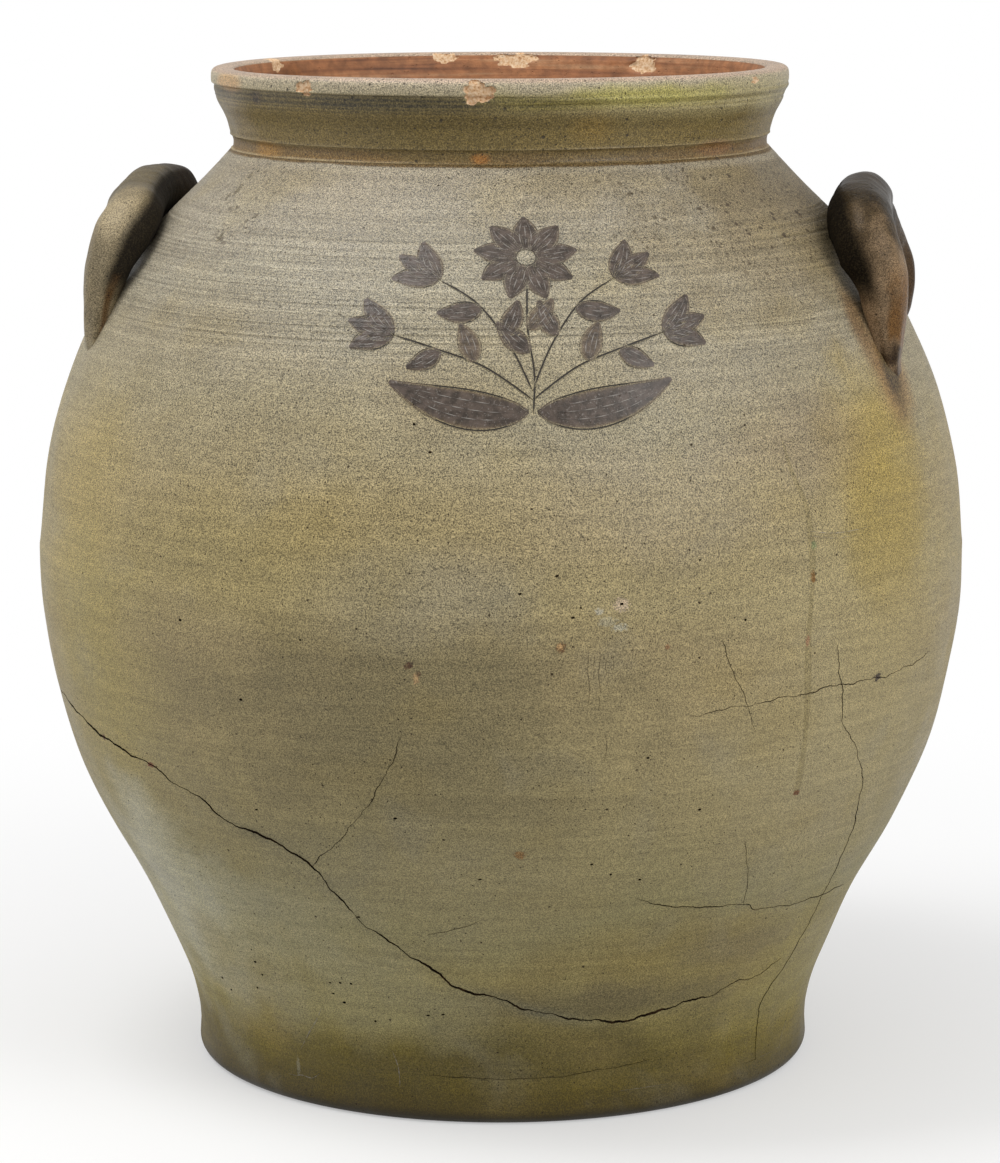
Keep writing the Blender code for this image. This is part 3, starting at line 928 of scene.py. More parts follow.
def make_spray(material, cut_half_width):
    """A fan of flowers on five stems over two broad leaves, cut into the shoulder and washed with slip."""
    cuts, fills = Surface(cut_half_width), Surface()
    for number, (marks, leaves) in enumerate(STEMS):
        for side in (1,) if number == 0 else (-1, 1):
            marks_here = [(side * x, y) for x, y in marks]
            stem = smooth_path(marks_here, 240)
            cut_line(cuts, marks_here, 1.1)
            heading = np.degrees(np.arctan2(*np.gradient(stem, axis=0).T[::-1]))
            for along, turn, length, widest, bend, wash in leaves:
                index = int(along * (len(stem) - 1))
                degrees = heading[index] + side * turn
                leaf(cuts, fills, stem[index], degrees, length, widest, side * bend, wash)
            if number > 0:
                for fan in (-36, 36, 0):
                    leaf(cuts, fills, stem[-1], heading[-1] + side * fan, 16, 3.9, side * fan * 0.6, 1.0)
    for petal in range(FLOWER_PETALS):
        degrees = 90 + 360 * petal / FLOWER_PETALS
        turn = np.radians(degrees)
        base = (FLOWER_CENTER[0] + 3.2 * math.cos(turn), FLOWER_CENTER[1] + 3.2 * math.sin(turn))
        leaf(cuts, fills, base, degrees, 14, 4.3, 8, 1.0)
    for side in (-1, 1):
        leaf(cuts, fills, (side * 1.5, -37), 90 - side * 78, 47, 6.6, side * 34, 1.0)
    angle = np.linspace(0, 2 * math.pi, 25)
    ring = np.stack([3.4 * np.cos(angle), 3.4 * np.sin(angle)], axis=1) + np.array(FLOWER_CENTER)
    cut_line(cuts, ring, 1.0, 0.0, 0.0)
    for name, surface in (("slip_wash", fills), ("incised_lines", cuts)):
        surface.make(name, material, "upper_body", sharp_degrees=70)


CRACK_SEED = 61
SWELL_SEED = 83
PIT_SEED = 140
PIT_PIXELS = (
    (256, 810), (395, 819), (358, 918), (592, 865), (611, 875), (330, 983), (340, 983), (351, 984),
    (333, 994), (344, 1003), (428, 1016), (443, 1015), (255, 962), (262, 975), (257, 988), (222, 978),
    (231, 990), (622, 604), (581, 608), (573, 618), (520, 594), (557, 576), (414, 424), (430, 452),
    (648, 758), (700, 810), (375, 1022), (480, 880), (640, 880), (240, 700), (300, 640), (180, 620),
    (700, 560), (746, 620),
)


def wandering(points, wobble, seed):
    """The path with an uneven wander added square to it: a sum of sines of the distance along it."""
    along = arc_lengths(points)
    phase = PHASE * ripple(seed, 5)
    wander = np.zeros(len(points))
    for number, pitch in enumerate((21.0, 9.3, 4.7, 2.3, 1.1)):
        wander += 0.55**number * np.sin(2 * math.pi * along / (pitch * MM) + phase[number])
    direction = np.gradient(points, axis=0)
    direction /= np.linalg.norm(direction, axis=1, keepdims=True)
    return points + np.stack([-direction[:, 1], direction[:, 0]], axis=1) * (wobble * wander)[:, None]


def make_cracks(material, share):
    """Hairline and firing cracks, thin dark strips along wandering paths on the wall, and small pits."""
    surface = Surface()
    for number, (half_width, wobble, pixels) in enumerate(CRACKS):
        seen = seen_at(smooth_path(pixels, 12 * len(pixels)))
        mean_radius = wall_radius(seen[:, 1]).mean()
        flat = np.stack([seen[:, 0] * mean_radius, rise_at(seen[:, 1])], axis=1)
        flat = wandering(even_path(flat, 0.4 * MM), wobble * MM, CRACK_SEED + number)
        along = arc_lengths(flat)
        phase = PHASE * ripple(SWELL_SEED + number, 3)
        short, long = np.sin(along / 0.0031 + phase[0]), np.sin(along / 0.0127 + phase[1])
        swell = 0.75 + 0.3 * short + 0.45 * long**3
        width = share * half_width * MM * np.clip(swell, 0.3, 1.6) * taper(len(flat), 0.05, 0.12)
        azimuth, height = flat[:, 0] / mean_radius, height_at(flat[:, 1])
        strip(surface, azimuth, height, width, CRACK_SECTION, groove=CRACK_GROOVE)
    for number, (azimuth, height) in enumerate(seen_at(PIT_PIXELS)):
        chance = ripple(PIT_SEED + number, 2)
        angle = np.linspace(-1, 1, 9)
        along = (0.38 + 0.30 * chance[0]) * MM * angle
        width = (0.28 + 0.20 * chance[1]) * MM * np.sqrt(np.maximum(1 - angle**2, 0.02))
        level = height + 0.4 * (chance[0] - 0.5) * along
        azimuths = azimuth + along / wall_radius(height)
        strip(surface, azimuths, level, width, CRACK_SECTION, groove=CRACK_GROOVE)
    surface.make("hairline_cracks", material, "lower_body", sharp_degrees=70)


DRIP_PIXELS = (
    (782, 436), (792, 470), (806, 505), (812, 545), (813, 590), (809, 640), (808, 700), (805, 745),
    (797, 794),
)
DRIP_SHARES = (0.0, 0.0, 0.35, 0.5, 0.45, 0.4, 0.45, 0.5, 0.35, 0.0, 0.0)
SCRATCHES = (
    # half width in millimetres, how pale, pixels
    (0.20, 0.9, ((800, 530), (830, 533), (850, 531), (872, 526))),
    (0.14, 0.7, ((803, 535), (835, 538), (858, 534))),
    (0.30, 0.8, ((322, 1006), (316, 1020), (308, 1034), (300, 1050))),
    (0.24, 0.7, ((392, 1052), (398, 1068), (400, 1088))),
    (0.20, 0.8, ((288, 1078), (300, 1075), (312, 1078), (320, 1073))),
    (0.20, 0.6, ((790, 1010), (782, 1035), (776, 1060))),
    (0.20, 0.5, ((772, 1052), (766, 1066), (758, 1078))),
    (0.12, 0.5, ((668, 600), (690, 596), (735, 588))),
    (0.16, 0.6, ((618, 1102), (640, 1098), (668, 1100))),
)
DARK_SCRATCHES = (
    # half width in millimetres, how dark, pixels
    (0.13, 0.55, ((589, 656), (588, 672), (590, 690), (588, 707))),
    (0.10, 0.45, ((595, 655), (594, 664), (595, 671))),
    (0.12, 0.50, ((601, 657), (599, 674), (601, 692))),
    (0.10, 0.40, ((607, 660), (606, 667), (607, 676))),
    (0.11, 0.45, ((613, 655), (614, 664), (613, 674))),
    (0.11, 0.50, ((598, 694), (600, 701), (599, 709))),
    (0.12, 0.45, ((606, 736), (607, 748), (604, 762))),
    (0.10, 0.50, ((536, 733), (541, 737), (547, 742))),
    (0.10, 0.40, ((566, 699), (572, 698), (579, 697))),
    (0.10, 0.40, ((442, 742), (446, 745), (450, 751))),
)


def make_scratches(material):
    """The old drip down the right of the belly, and pale and dark scuffs round the foot and belly."""
    surface = Surface()
    seen = seen_at(smooth_path(DRIP_PIXELS, 160))
    width = 1.7 * MM * (0.8 + 0.2 * np.sin(np.arange(160) * 0.13)) * taper(160, 0.2, 0.02)
    flat = [(across, min(lift, 0.03)) for across, lift in WASH_SECTION]
    strip(surface, seen[:, 0], seen[:, 1], width, flat, drip=DRIP_SHARES)
    for number, (half_width, pale, pixels) in enumerate(SCRATCHES):
        seen = seen_at(smooth_path(pixels, 120))
        breaks = 0.5 + 0.5 * np.sin(np.arange(120) * 0.37 + number) * np.sin(np.arange(120) * 0.15)
        width = half_width * MM * taper(120, 0.3, 0.3) * breaks
        strip(surface, seen[:, 0], seen[:, 1], width, CRACK_SECTION, glint=np.multiply(CRACK_GROOVE, pale))
    for half_width, dark, pixels in DARK_SCRATCHES:
        seen = seen_at(smooth_path(pixels, 60))
        width = half_width * MM * taper(60, 0.4, 0.4)
        strip(surface, seen[:, 0], seen[:, 1], width, CRACK_SECTION, groove=np.multiply(CRACK_GROOVE, dark))
    surface.make("drip_and_scuffs", material, "lower_body", sharp_degrees=70)


# Materials


class Recipe:
    """Nodes of one material, added and linked in short calls."""

    def __init__(self, name):
        self.material = bpy.data.materials.new(name)
        self.material.use_nodes = True
        self.tree = self.material.node_tree
        self.shader = self.tree.nodes["Principled BSDF"]
        self.spot = self.add("TexCoord").outputs["Object"]

    def add(self, kind, inputs=(), **settings):
        """Add a node with its settings, then feed its inputs: pairs of a name or number and a value."""
        node = self.tree.nodes.new("ShaderNode" + kind)
        for key, value in settings.items():
            setattr(node, key, value)
        for key, value in inputs:
            self.feed(node.inputs[key], value)
        return node

    def feed(self, socket, value):
        """Link a socket to another's output, or set it to a plain value or colour."""
        if isinstance(value, bpy.types.NodeSocket):
            self.tree.links.new(value, socket)
        elif hasattr(value, "__len__") and len(value) == 3 and socket.type == "RGBA":
            socket.default_value = tuple(value) + (1.0,)
        else:
            socket.default_value = value

    def attribute(self, name):
        return self.add("Attribute", attribute_name=name).outputs["Fac"]

    def stretched(self, scale):
        """The place on the piece with X, Y and Z each multiplied, which squeezes a pattern along them."""
        return self.add("Mapping", (("Vector", self.spot), ("Scale", scale))).outputs["Vector"]

    def noise(self, scale, detail=3.0, vector=None, distortion=0.0):
        """Noise of about 0 to 1, scale in features a metre."""
        place = ("Vector", vector or self.spot)
        inputs = place, ("Scale", scale), ("Detail", detail), ("Distortion", distortion)
        return self.add("TexNoise", inputs).outputs["Fac"]

    def parts(self, kind, value):
        """The three parts of a colour or of a place."""
        return self.add("Separate" + kind, ((0, value),)).outputs

    def height(self):
        return self.parts("XYZ", self.spot)[2]

    def math(self, operation, first, second=0.0, third=0.0):
        return self.add("Math", enumerate((first, second, third)), operation=operation).outputs[0]

    def times(self, first, second):
        return self.math("MULTIPLY", first, second)

    def plus(self, first, second):
        return self.math("ADD", first, second)

    def less(self, first, second):
        return self.math("SUBTRACT", first, second)

    def most(self, first, second):
        return self.math("MAXIMUM", first, second)

    def shifted(self, value, factor, offset):
        """The value times a factor, plus an offset."""
        return self.math("MULTIPLY_ADD", value, factor, offset)

    def between(self, value, low, high, from_value=0.0, to_value=1.0):
        """The value's way from low to high, eased, as a number between two others."""
        inputs = enumerate((value, low, high, from_value, to_value))
        return self.add("MapRange", inputs, interpolation_type="SMOOTHSTEP").outputs[0]

    def band(self, value, rise, fall):
        """1 while the value lies in a band and 0 beyond it, eased where it rises and falls."""
        return self.times(self.between(value, *rise), self.between(value, *fall))

    def blend(self, share, first, second):
        return self.add("Mix", ((0, share), (6, first), (7, second)), data_type="RGBA").outputs[2]

    def cover(self, color, mask, strength, tone):
        """The colour with a tone laid over it where the mask is 1, at a strength."""
        return self.blend(self.times(mask, strength), color, tone)

    def shade(self, color, amount):
        """The colour made lighter or darker by a factor."""
        return self.add("VectorMath", ((0, color), ("Scale", amount)), operation="SCALE").outputs[0]

    def length(self, vector):
        return self.add("VectorMath", ((0, vector),), operation="LENGTH").outputs["Value"]

    def patch(self, center, half_width, half_height, ragged, softness):
        """1 within an ellipse on the wall and 0 beyond it, turned to face outwards at its azimuth."""
        azimuth, height = center
        flare = (NECK_HEIGHT, HEIGHT), (NECK_RADIUS, LIP_RADIUS)
        radius = float(wall_radius(height) if height < NECK_HEIGHT else np.interp(height, *flare))
        inputs = (
            ("Vector", self.spot),
            ("Location", around(azimuth, radius, height).tolist()),
            ("Rotation", (0, 0, azimuth)),
            ("Scale", (half_width, max(half_width, half_height, PATCH_DEPTH), half_height)),
        )
        inner = self.add("Mapping", inputs, vector_type="TEXTURE").outputs["Vector"]
        distance = self.plus(self.length(inner), ragged)
        return self.between(distance, 1 + softness / 2, 1 - softness / 2)

    def patched(self, color, entries, centers, ragged, softness):
        """The colour with each entry's tone laid over a ragged ellipse about its centre."""
        for center, (_, half_width, half_height, tone, strength) in zip(centers, entries):
            mask = self.patch(center, half_width * MM, half_height * MM, ragged, softness)
            color = self.cover(color, mask, strength, srgb(*tone))
        return color

    def dots(self, scale, share, radius, wobble=0.0):
        """Round pits: 1 within a radius, in millimetres, of some of the cells' middles, and 0 elsewhere."""
        cells = self.add("TexVoronoi", (("Vector", self.spot), ("Scale", scale))).outputs
        distance = cells["Distance"]
        chance = self.parts("Color", cells["Color"])[0]
        if wobble:
            distance = self.plus(distance, self.shifted(self.noise(scale * 2.5, 2.0), wobble, -0.5 * wobble))
        inside = self.between(distance, radius * MM * scale * 1.25, radius * MM * scale * 0.7)
        return self.times(inside, self.math("GREATER_THAN", chance, 1 - share))

    def relief(self, *layers):
        """Bumps laid over one another, each a height, its depth in millimetres and its strength."""
        normal = None
        for height, depth, strength in layers:
            inputs = [("Height", height), ("Distance", depth * MM), ("Strength", strength)]
            if normal is not None:
                inputs.append(("Normal", normal))
            normal = self.add("Bump", inputs).outputs[0]
        return normal

    def ramp(self, value, stops):
        """Screen colours at given values, blended between."""
        low, high = stops[0][0], stops[-1][0]
        share = self.add("MapRange", enumerate((value, low, high, 0.0, 1.0))).outputs[0]
        node = self.add("ValToRGB", (("Fac", share),))
        elements = node.color_ramp.elements
        while len(elements) < len(stops):
            elements.new(0.5)
        for element, (at, color) in zip(elements, stops):
            element.position = (at - low) / (high - low)
            element.color = srgb(*color) + (1.0,)
        return node.outputs["Color"]

    def finish(self, color, roughness, normal, specular=0.5):
        self.shader.inputs["Specular IOR Level"].default_value = specular
        for name, value in (("Base Color", color), ("Roughness", roughness), ("Normal", normal)):
            self.feed(self.shader.inputs[name], value)
        return self.material


# Screen colours of the glaze up the wall, and patches and spots of other tones on it; some patches are
# painted light and some painted shade
GLAZE_LEVELS = (
    (0.000, (58, 46, 6)),
    (0.012, (94, 80, 16)),
    (0.022, (124, 109, 40)),
    (0.034, (156, 142, 80)),
    (0.050, (162, 148, 95)),
    (0.075, (164, 154, 109)),
    (0.100, (167, 154, 111)),
    (0.165, (167, 150, 109)),
    (0.190, (168, 153, 111)),
    (0.212, (166, 150, 110)),
    (0.232, (165, 151, 115)),
    (0.252, (160, 149, 120)),
    (0.272, (158, 148, 124)),
    (0.290, (154, 147, 129)),
    (0.310, (152, 144, 127)),
    (0.328, (153, 143, 124)),
)
YELLOW = (160, 140, 84)
GREY = (150, 145, 128)
GRAIN_TINT = srgb(172, 154, 110)
SPECK = srgb(74, 60, 42)
PATCH_DEPTH = 5 * MM  # least depth of a patch square to the wall
SCORED_RISE = 0.258, 0.274
SCORED_FALL = 0.318, 0.306
SCORED_ELSEWHERE = 0.22
# painted highlight: pale irregular band on the shoulder just below the neck, between these levels
SHOULDER_TOP_HIGHLIGHT = 0.3240, 0.3262
# dark amber-brown of glaze pooled in the cove at the neck's foot, darkened further as painted shade
POOLED_AND_SHADED_BROWN = 0.3268, 0.3275
# painted shade at the foot: the height where it starts, and where it is full
FOOT_SHADE_FALL = 5.5 * MM, 0.8 * MM
PATCHES = (
    # pixel of the photograph, half width and half height in millimetres, tone, strength
    ((790, 196), 55, 20, (112, 96, 68), 0.85),
    ((780, 255), 60, 20, (136, 122, 93), 0.70),
    # painted shade: this and the next entry darken the belly's lower middle, between the side lights
    ((390, 715), 66, 30, (124, 113, 82), 0.60),
    ((430, 760), 50, 36, (134, 124, 88), 0.45),
    ((400, 590), 34, 14, (166, 156, 130), 0.60),
    # painted light: this and the next entry pale the lower left of the belly, where light falls from low on
    # the left
    ((185, 905), 40, 36, (204, 198, 164), 0.80),
    ((270, 925), 44, 18, (186, 178, 138), 0.75),
    ((390, 890), 50, 20, (168, 158, 120), 0.40),
    ((850, 720), 45, 60, (180, 166, 126), 0.65),
    ((888, 478), 24, 34, (170, 145, 64), 0.85),
    ((900, 570), 30, 50, (170, 152, 96), 0.40),
    ((240, 560), 50, 20, (164, 146, 90), 0.50),
    ((75, 560), 30, 50, (178, 158, 100), 0.65),
    ((100, 700), 30, 50, (176, 160, 100), 0.65),
    ((430, 520), 45, 10, YELLOW, 0.30),
    ((660, 968), 46, 16, (146, 130, 76), 0.75),
    ((800, 440), 30, 14, (142, 124, 102), 0.40),
    ((600, 440), 40, 12, GREY, 0.35),
    ((430, 400), 18, 10, (128, 110, 82), 0.25),
    ((640, 500), 50, 18, (174, 160, 132), 0.40),
    # painted shadow above the main crack
    ((600, 1003), 50, 7, (98, 90, 68), 0.55),
    ((745, 945), 20, 6, (118, 108, 82), 0.45),
    # painted light on the lower left of the belly
    ((165, 862), 20, 28, (216, 212, 186), 0.70),
    ((560, 1052), 56, 14, (84, 72, 28), 0.55),
    ((470, 1064), 85, 11, (80, 70, 26), 0.50),
    # painted light on the lower left of the belly
    ((366, 1006), 40, 13, (188, 180, 136), 0.50),
    ((892, 376), 11, 14, (148, 106, 62), 0.75),
    ((893, 376), 6, 10, (52, 38, 24), 0.90),
    ((858, 322), 5, 16, (120, 84, 48), 0.70),
)
SPOTS = (
    ((797, 793), 1.3, 1.0, (104, 58, 18), 0.95),
    ((814, 577), 1.0, 1.7, (122, 80, 24), 0.9),
    ((814, 545), 1.3, 1.3, (96, 128, 84), 0.55),
    ((520, 856), 1.7, 1.4, (140, 96, 44), 0.8),
    ((561, 648), 1.6, 1.5, (112, 76, 40), 0.85),
    ((560, 647), 0.9, 0.8, (196, 158, 108), 0.90),
    ((668, 647), 0.9, 0.8, (140, 94, 60), 0.75),
    ((416, 679), 0.9, 1.9, (186, 152, 108), 0.85),
    ((418, 674), 0.7, 1.0, (84, 60, 38), 0.85),
    ((408, 666), 1.4, 1.1, (78, 48, 28), 0.90),
    ((622, 605), 2.4, 2.1, (200, 178, 150), 0.85),
    ((620, 628), 2.6, 1.2, (196, 194, 176), 0.55),
    ((608, 622), 3.0, 1.4, (186, 184, 164), 0.35),
    ((599, 612), 1.4, 1.0, (196, 194, 180), 0.5),
    ((878, 677), 1.9, 1.4, (34, 16, 10), 1.0),
    ((150, 765), 1.8, 0.9, (120, 58, 36), 0.9),
    ((103, 737), 1.2, 1.0, (92, 46, 30), 0.9),
    ((808, 641), 0.9, 1.6, (160, 112, 84), 0.7),
    ((298, 1066), 0.8, 3.0, (186, 184, 164), 0.25),
    ((237, 190), 1.3, 1.8, (94, 84, 64), 0.75),
    ((228, 196), 1.1, 1.4, (94, 84, 64), 0.65),
    ((220, 237), 1.1, 1.9, (86, 78, 60), 0.80),
    ((249, 176), 1.0, 1.3, (94, 84, 64), 0.6),
    ((800, 214), 1.3, 1.6, (70, 54, 36), 0.85),
)


def grainy(recipe, color, coarse=1.0, tint=0.18, crisp=1.2):
    """The colour broken up by grains from 2 mm down to 0.3 mm, some yellower and some greyer."""
    grain, fine, finest = recipe.noise(420, 3.0), recipe.noise(1500, 1.0), recipe.noise(2900, 0.5)
    color = recipe.blend(recipe.between(fine, 0.42, 0.62, 0.0, tint), color, GRAIN_TINT)
    amount = recipe.between(grain, 0.25, 0.75, 1 - 0.05 * coarse, 1 + 0.05 * coarse)
    sharp = recipe.between(fine, 0.3, 0.7, -0.12, 0.12)
    sharp = recipe.plus(sharp, recipe.between(finest, 0.3, 0.7, -0.38, 0.38))
    amount = recipe.times(amount, recipe.shifted(sharp, crisp, 1.0))
    return recipe.shade(color, amount), grain, fine, finest


def glaze_color(recipe, mottle, ragged):
    """Colour of the salt glaze up the wall, with its yellow, grey and brown patches and streaks, and painted
    light and shade.
    """
    broad = recipe.noise(11, 4.0, recipe.stretched((1, 1, 1.9)))
    steady = recipe.between(recipe.height(), 0.0, 0.06, 0.15, 1.0)
    shift = recipe.times(recipe.shifted(broad, 0.07, -0.035), steady)
    color = recipe.ramp(recipe.plus(recipe.height(), shift), GLAZE_LEVELS)
    color = recipe.patched(color, PATCHES, seen_at([entry[0] for entry in PATCHES]), ragged, 1.3)
    yellowing = recipe.between(recipe.noise(19, 4.0, recipe.stretched((1, 1, 1.6))), 0.52, 0.72)
    color = recipe.cover(color, yellowing, 0.26, srgb(*YELLOW))
    greying = recipe.between(recipe.noise(27, 4.0, recipe.stretched((1.3, 1, 1.2)), 0.4), 0.55, 0.75)
    color = recipe.cover(color, greying, 0.22, srgb(*GREY))
    # Painted highlight just below the neck joint, then glaze pooled dark in the cove there, with painted
    # shade
    highlight_and_pool_level = recipe.shifted(mottle, 0.0016, recipe.height())
    color = recipe.blend(recipe.between(highlight_and_pool_level, *SHOULDER_TOP_HIGHLIGHT, 0.0, 0.5), color, srgb(170, 160, 140))
    color = recipe.blend(recipe.between(highlight_and_pool_level, *POOLED_AND_SHADED_BROWN), color, srgb(98, 75, 36))
    streaks = recipe.noise(9, 5.0, recipe.stretched((1, 1, 26)))
    amount = recipe.between(streaks, 0.3, 0.7, 0.94, 1.06)
    wiped = recipe.noise(50, 4.0, recipe.stretched((1, 1, 12)))
    for factor in (
        recipe.between(wiped, 0.3, 0.7, 0.93, 1.07),
        recipe.between(mottle, 0.25, 0.75, 0.94, 1.06),
        # painted shade in the throwing marks' grooves and painted highlight on the ridges beside them
        recipe.shifted(recipe.attribute("mark"), 0.17, 1.0),
        recipe.shifted(scored_lines(recipe), 0.26, 1.0),
    ):
        amount = recipe.times(amount, factor)
    return recipe.shade(color, amount)


def scored_lines(recipe):
    """Close, thin, broken lines round the shoulder, and fewer round the belly, from -0.5 to 0.5."""
    lines = recipe.between(recipe.noise(5, 4.0, recipe.stretched((1, 1, 200))), 0.36, 0.64, -0.5, 0.5)
    band = recipe.band(recipe.height(), SCORED_RISE, SCORED_FALL)
    return recipe.times(lines, recipe.most(band, SCORED_ELSEWHERE))


def iron_specks(recipe, color, ragged):
    """Soft brown iron specks, thick on the shoulder's right and thin elsewhere."""
    specks = recipe.most(recipe.dots(260, 0.34, 0.95, 0.5), recipe.dots(560, 0.38, 0.48, 0.5))
    right, left = seen_at([(745, 210), (235, 215)])
    where = recipe.patch(right, 0.058, 0.024, ragged, 1.2)
    where = recipe.most(where, recipe.times(recipe.patch(left, 0.03, 0.02, ragged, 1.2), 0.6))
    return recipe.cover(color, recipe.times(specks, where), 0.92, SPECK)


def slip_over(recipe, color, slip_color):
    """The colour under washed-in slip: brown where thin, dark purple-brown with glints where thick."""
    slip = recipe.attribute("slip")
    ragged = recipe.shifted(recipe.noise(700, 3.0), 0.5, -0.25)
    slip = recipe.plus(slip, recipe.times(ragged, recipe.between(slip, 0.0, 0.2)))
    mottle = recipe.noise(380, 4.0)
    dark = recipe.shade(slip_color, recipe.between(mottle, 0.3, 0.7, 0.55, 1.75))
    glints = recipe.between(recipe.noise(1500, 2.0), 0.60, 0.70)
    dark = recipe.cover(dark, glints, 0.45, srgb(158, 152, 146))
    color = recipe.blend(recipe.between(slip, 0.05, 0.55, 0.0, 0.65), color, srgb(112, 88, 62))
    color = recipe.blend(recipe.between(slip, 0.30, 0.85, 0.0, 0.92), color, dark)
    return color, recipe.between(slip, 0.3, 0.8)


def wall_material(name, slip, clay):
    """Mottled olive-grey salt glaze with iron specks, stains and pits, and painted light and shade; bare
    clay inside and below.
    """
    recipe = Recipe(name)
    mottle = recipe.noise(46, 5.0)
    ragged = recipe.shifted(mottle, 1.6, -0.8)
    color = glaze_color(recipe, mottle, ragged)
    color = recipe.blend(recipe.attribute("drip"), color, srgb(132, 118, 74))
    # Painted shadow: grey band along the main crack
    crack_shadow_share = recipe.times(recipe.attribute("stain"), recipe.between(mottle, 0.3, 0.7, 0.25, 0.75))
    color = recipe.blend(crack_shadow_share, color, srgb(104, 102, 84))
    edge = recipe.shifted(recipe.noise(1300, 3.0), 2.4, -1.2)
    color = recipe.patched(color, SPOTS, seen_at([entry[0] for entry in SPOTS]), edge, 0.6)
    crisp = recipe.between(recipe.height(), 0.12, 0.24, 0.95, 1.55)
    tint = recipe.between(recipe.height(), 0.0, 0.05, 0.02, 0.18)
    color, grain, fine, finest = grainy(recipe, color, tint=tint, crisp=crisp)
    color = iron_specks(recipe, color, ragged)
    crowded = recipe.between(recipe.noise(30, 3.0), 0.42, 0.62)
    pits = recipe.most(recipe.dots(300, 0.06, 0.38, 0.2), recipe.dots(560, 0.09, 0.27))
    tiny = recipe.times(recipe.dots(900, 0.22, 0.22), crowded)
    pits = recipe.most(pits, tiny)
    color = recipe.cover(color, pits, 0.85, srgb(46, 32, 18))
    color, glossy = slip_over(recipe, color, slip)
    # Pale grey: painted highlight on the leaves' ridges, and real pale scuffs on the belly and foot
    color = recipe.cover(color, recipe.attribute("glint"), 0.6, srgb(168, 162, 154))
    color = recipe.cover(color, recipe.attribute("groove"), 0.95, srgb(22, 15, 9))
    turning = recipe.noise(60, 5.0, recipe.stretched((1, 1, 8)))
    clay = recipe.shade(clay, recipe.between(turning, 0.3, 0.7, 0.6, 1.35))
    color = recipe.blend(recipe.attribute("inside"), color, clay)
    # Painted shade: near black on the foot's lowest few millimetres, where it meets the floor
    foot_shade = recipe.between(recipe.height(), *FOOT_SHADE_FALL)
    color = recipe.cover(color, foot_shade, 0.8, srgb(34, 28, 10))
    color = recipe.blend(recipe.attribute("bare"), color, srgb(120, 104, 80))
    roughness = recipe.between(mottle, 0.2, 0.8, 0.48, 0.64)
    roughness = recipe.less(roughness, recipe.times(glossy, 0.16))
    roughness = recipe.plus(roughness, recipe.times(recipe.attribute("inside"), 0.2))
    roughness = recipe.most(roughness, recipe.times(pits, 0.95))
    normal = recipe.relief(
        (recipe.noise(130, 3.0), 0.35, 0.5), (grain, 0.16, 0.6), (scored_lines(recipe), 0.16, 0.8),
        (fine, 0.08, 0.6), (finest, 0.04, 0.5), (recipe.times(pits, -1), 0.3, 0.8),
    )
    return recipe.finish(color, roughness, normal, 0.40)


def crack_material(name):
    """Old dirt in the cracks and pits: near black, browner in places, and dull."""
    recipe = Recipe(name)
    mottle = recipe.noise(260, 4.0)
    color = recipe.ramp(mottle, ((0.35, (16, 11, 6)), (0.55, (30, 21, 12)), (0.7, (58, 42, 26))))
    normal = recipe.relief((recipe.noise(1400, 2.0), 0.08, 0.7))
    return recipe.finish(color, recipe.between(mottle, 0.3, 0.7, 0.85, 0.98), normal, 0.05)


UNDER_LIP_RISE = 0.3410, 0.3460
UNDER_LIP_FALL = 0.3506, 0.3496
COLLAR_LEVELS = (
    (0.3275, (156, 138, 104)),
    # 0.3280 to 0.3310: dark amber-brown glaze pooled in the cove, darkened further as painted shade
    (0.3280, (112, 86, 44)),
    (0.3310, (102, 78, 38)),
    # painted highlight along the ridge at the collar's foot
    (0.3320, (144, 129, 96)),
    (0.3327, (120, 102, 58)),
    (0.3400, (120, 103, 57)),
    (0.3470, (112, 96, 52)),
    (0.3494, (112, 97, 57)),
    (0.3501, (156, 145, 116)),
    (0.3540, (172, 160, 136)),
    (0.3560, (182, 160, 138)),
)
COLLAR_PATCHES = (
    ((700, 98), 70, 6, (176, 164, 118), 0.80),
    ((648, 95), 30, 3.6, (172, 164, 84), 0.80),
    ((545, 103), 20, 3, (120, 110, 44), 0.7),
    # painted shadow of the lip on the collar, on the left
    ((405, 105), 30, 2.6, (70, 61, 28), 0.85),
    # dark amber-brown of glaze pooled in the cove at the neck's foot, darkened further as painted shade
    ((590, 158), 60, 2.2, (92, 72, 38), 0.75),
    ((440, 135), 30, 9, (96, 82, 42), 0.60),
    ((235, 120), 12, 10, (138, 122, 92), 0.60),
    ((262, 98), 3.6, 2.8, (70, 54, 40), 0.9),
    ((258, 150), 8, 2.6, (146, 108, 50), 0.85),
    ((725, 148), 11, 2.2, (124, 84, 46), 0.75),
    ((540, 132), 85, 8, (102, 86, 40), 0.50),
    ((236, 82), 11, 2.8, (184, 148, 104), 0.85),
    ((592, 128), 8, 5, (136, 108, 44), 0.45),
    ((480, 160), 3, 1.6, (150, 96, 34), 0.8),
)


def interior_color(recipe):
    """Orange-brown clay with dark throwing streaks and amber stains."""
    lines = recipe.noise(14, 5.0, recipe.stretched((1, 1, 34)), 0.5)
    clay = recipe.ramp(lines, (
        (0.30, (112, 70, 44)), (0.44, (156, 102, 64)), (0.56, (172, 116, 74)), (0.70, (186, 140, 100)),
    ))
    amber = recipe.between(recipe.noise(34, 4.0), 0.5, 0.62)
    clay = recipe.blend(recipe.times(amber, 0.6), clay, srgb(128, 76, 30))
    return recipe.shade(clay, recipe.between(recipe.noise(260, 4.0), 0.25, 0.75, 0.72, 1.24))


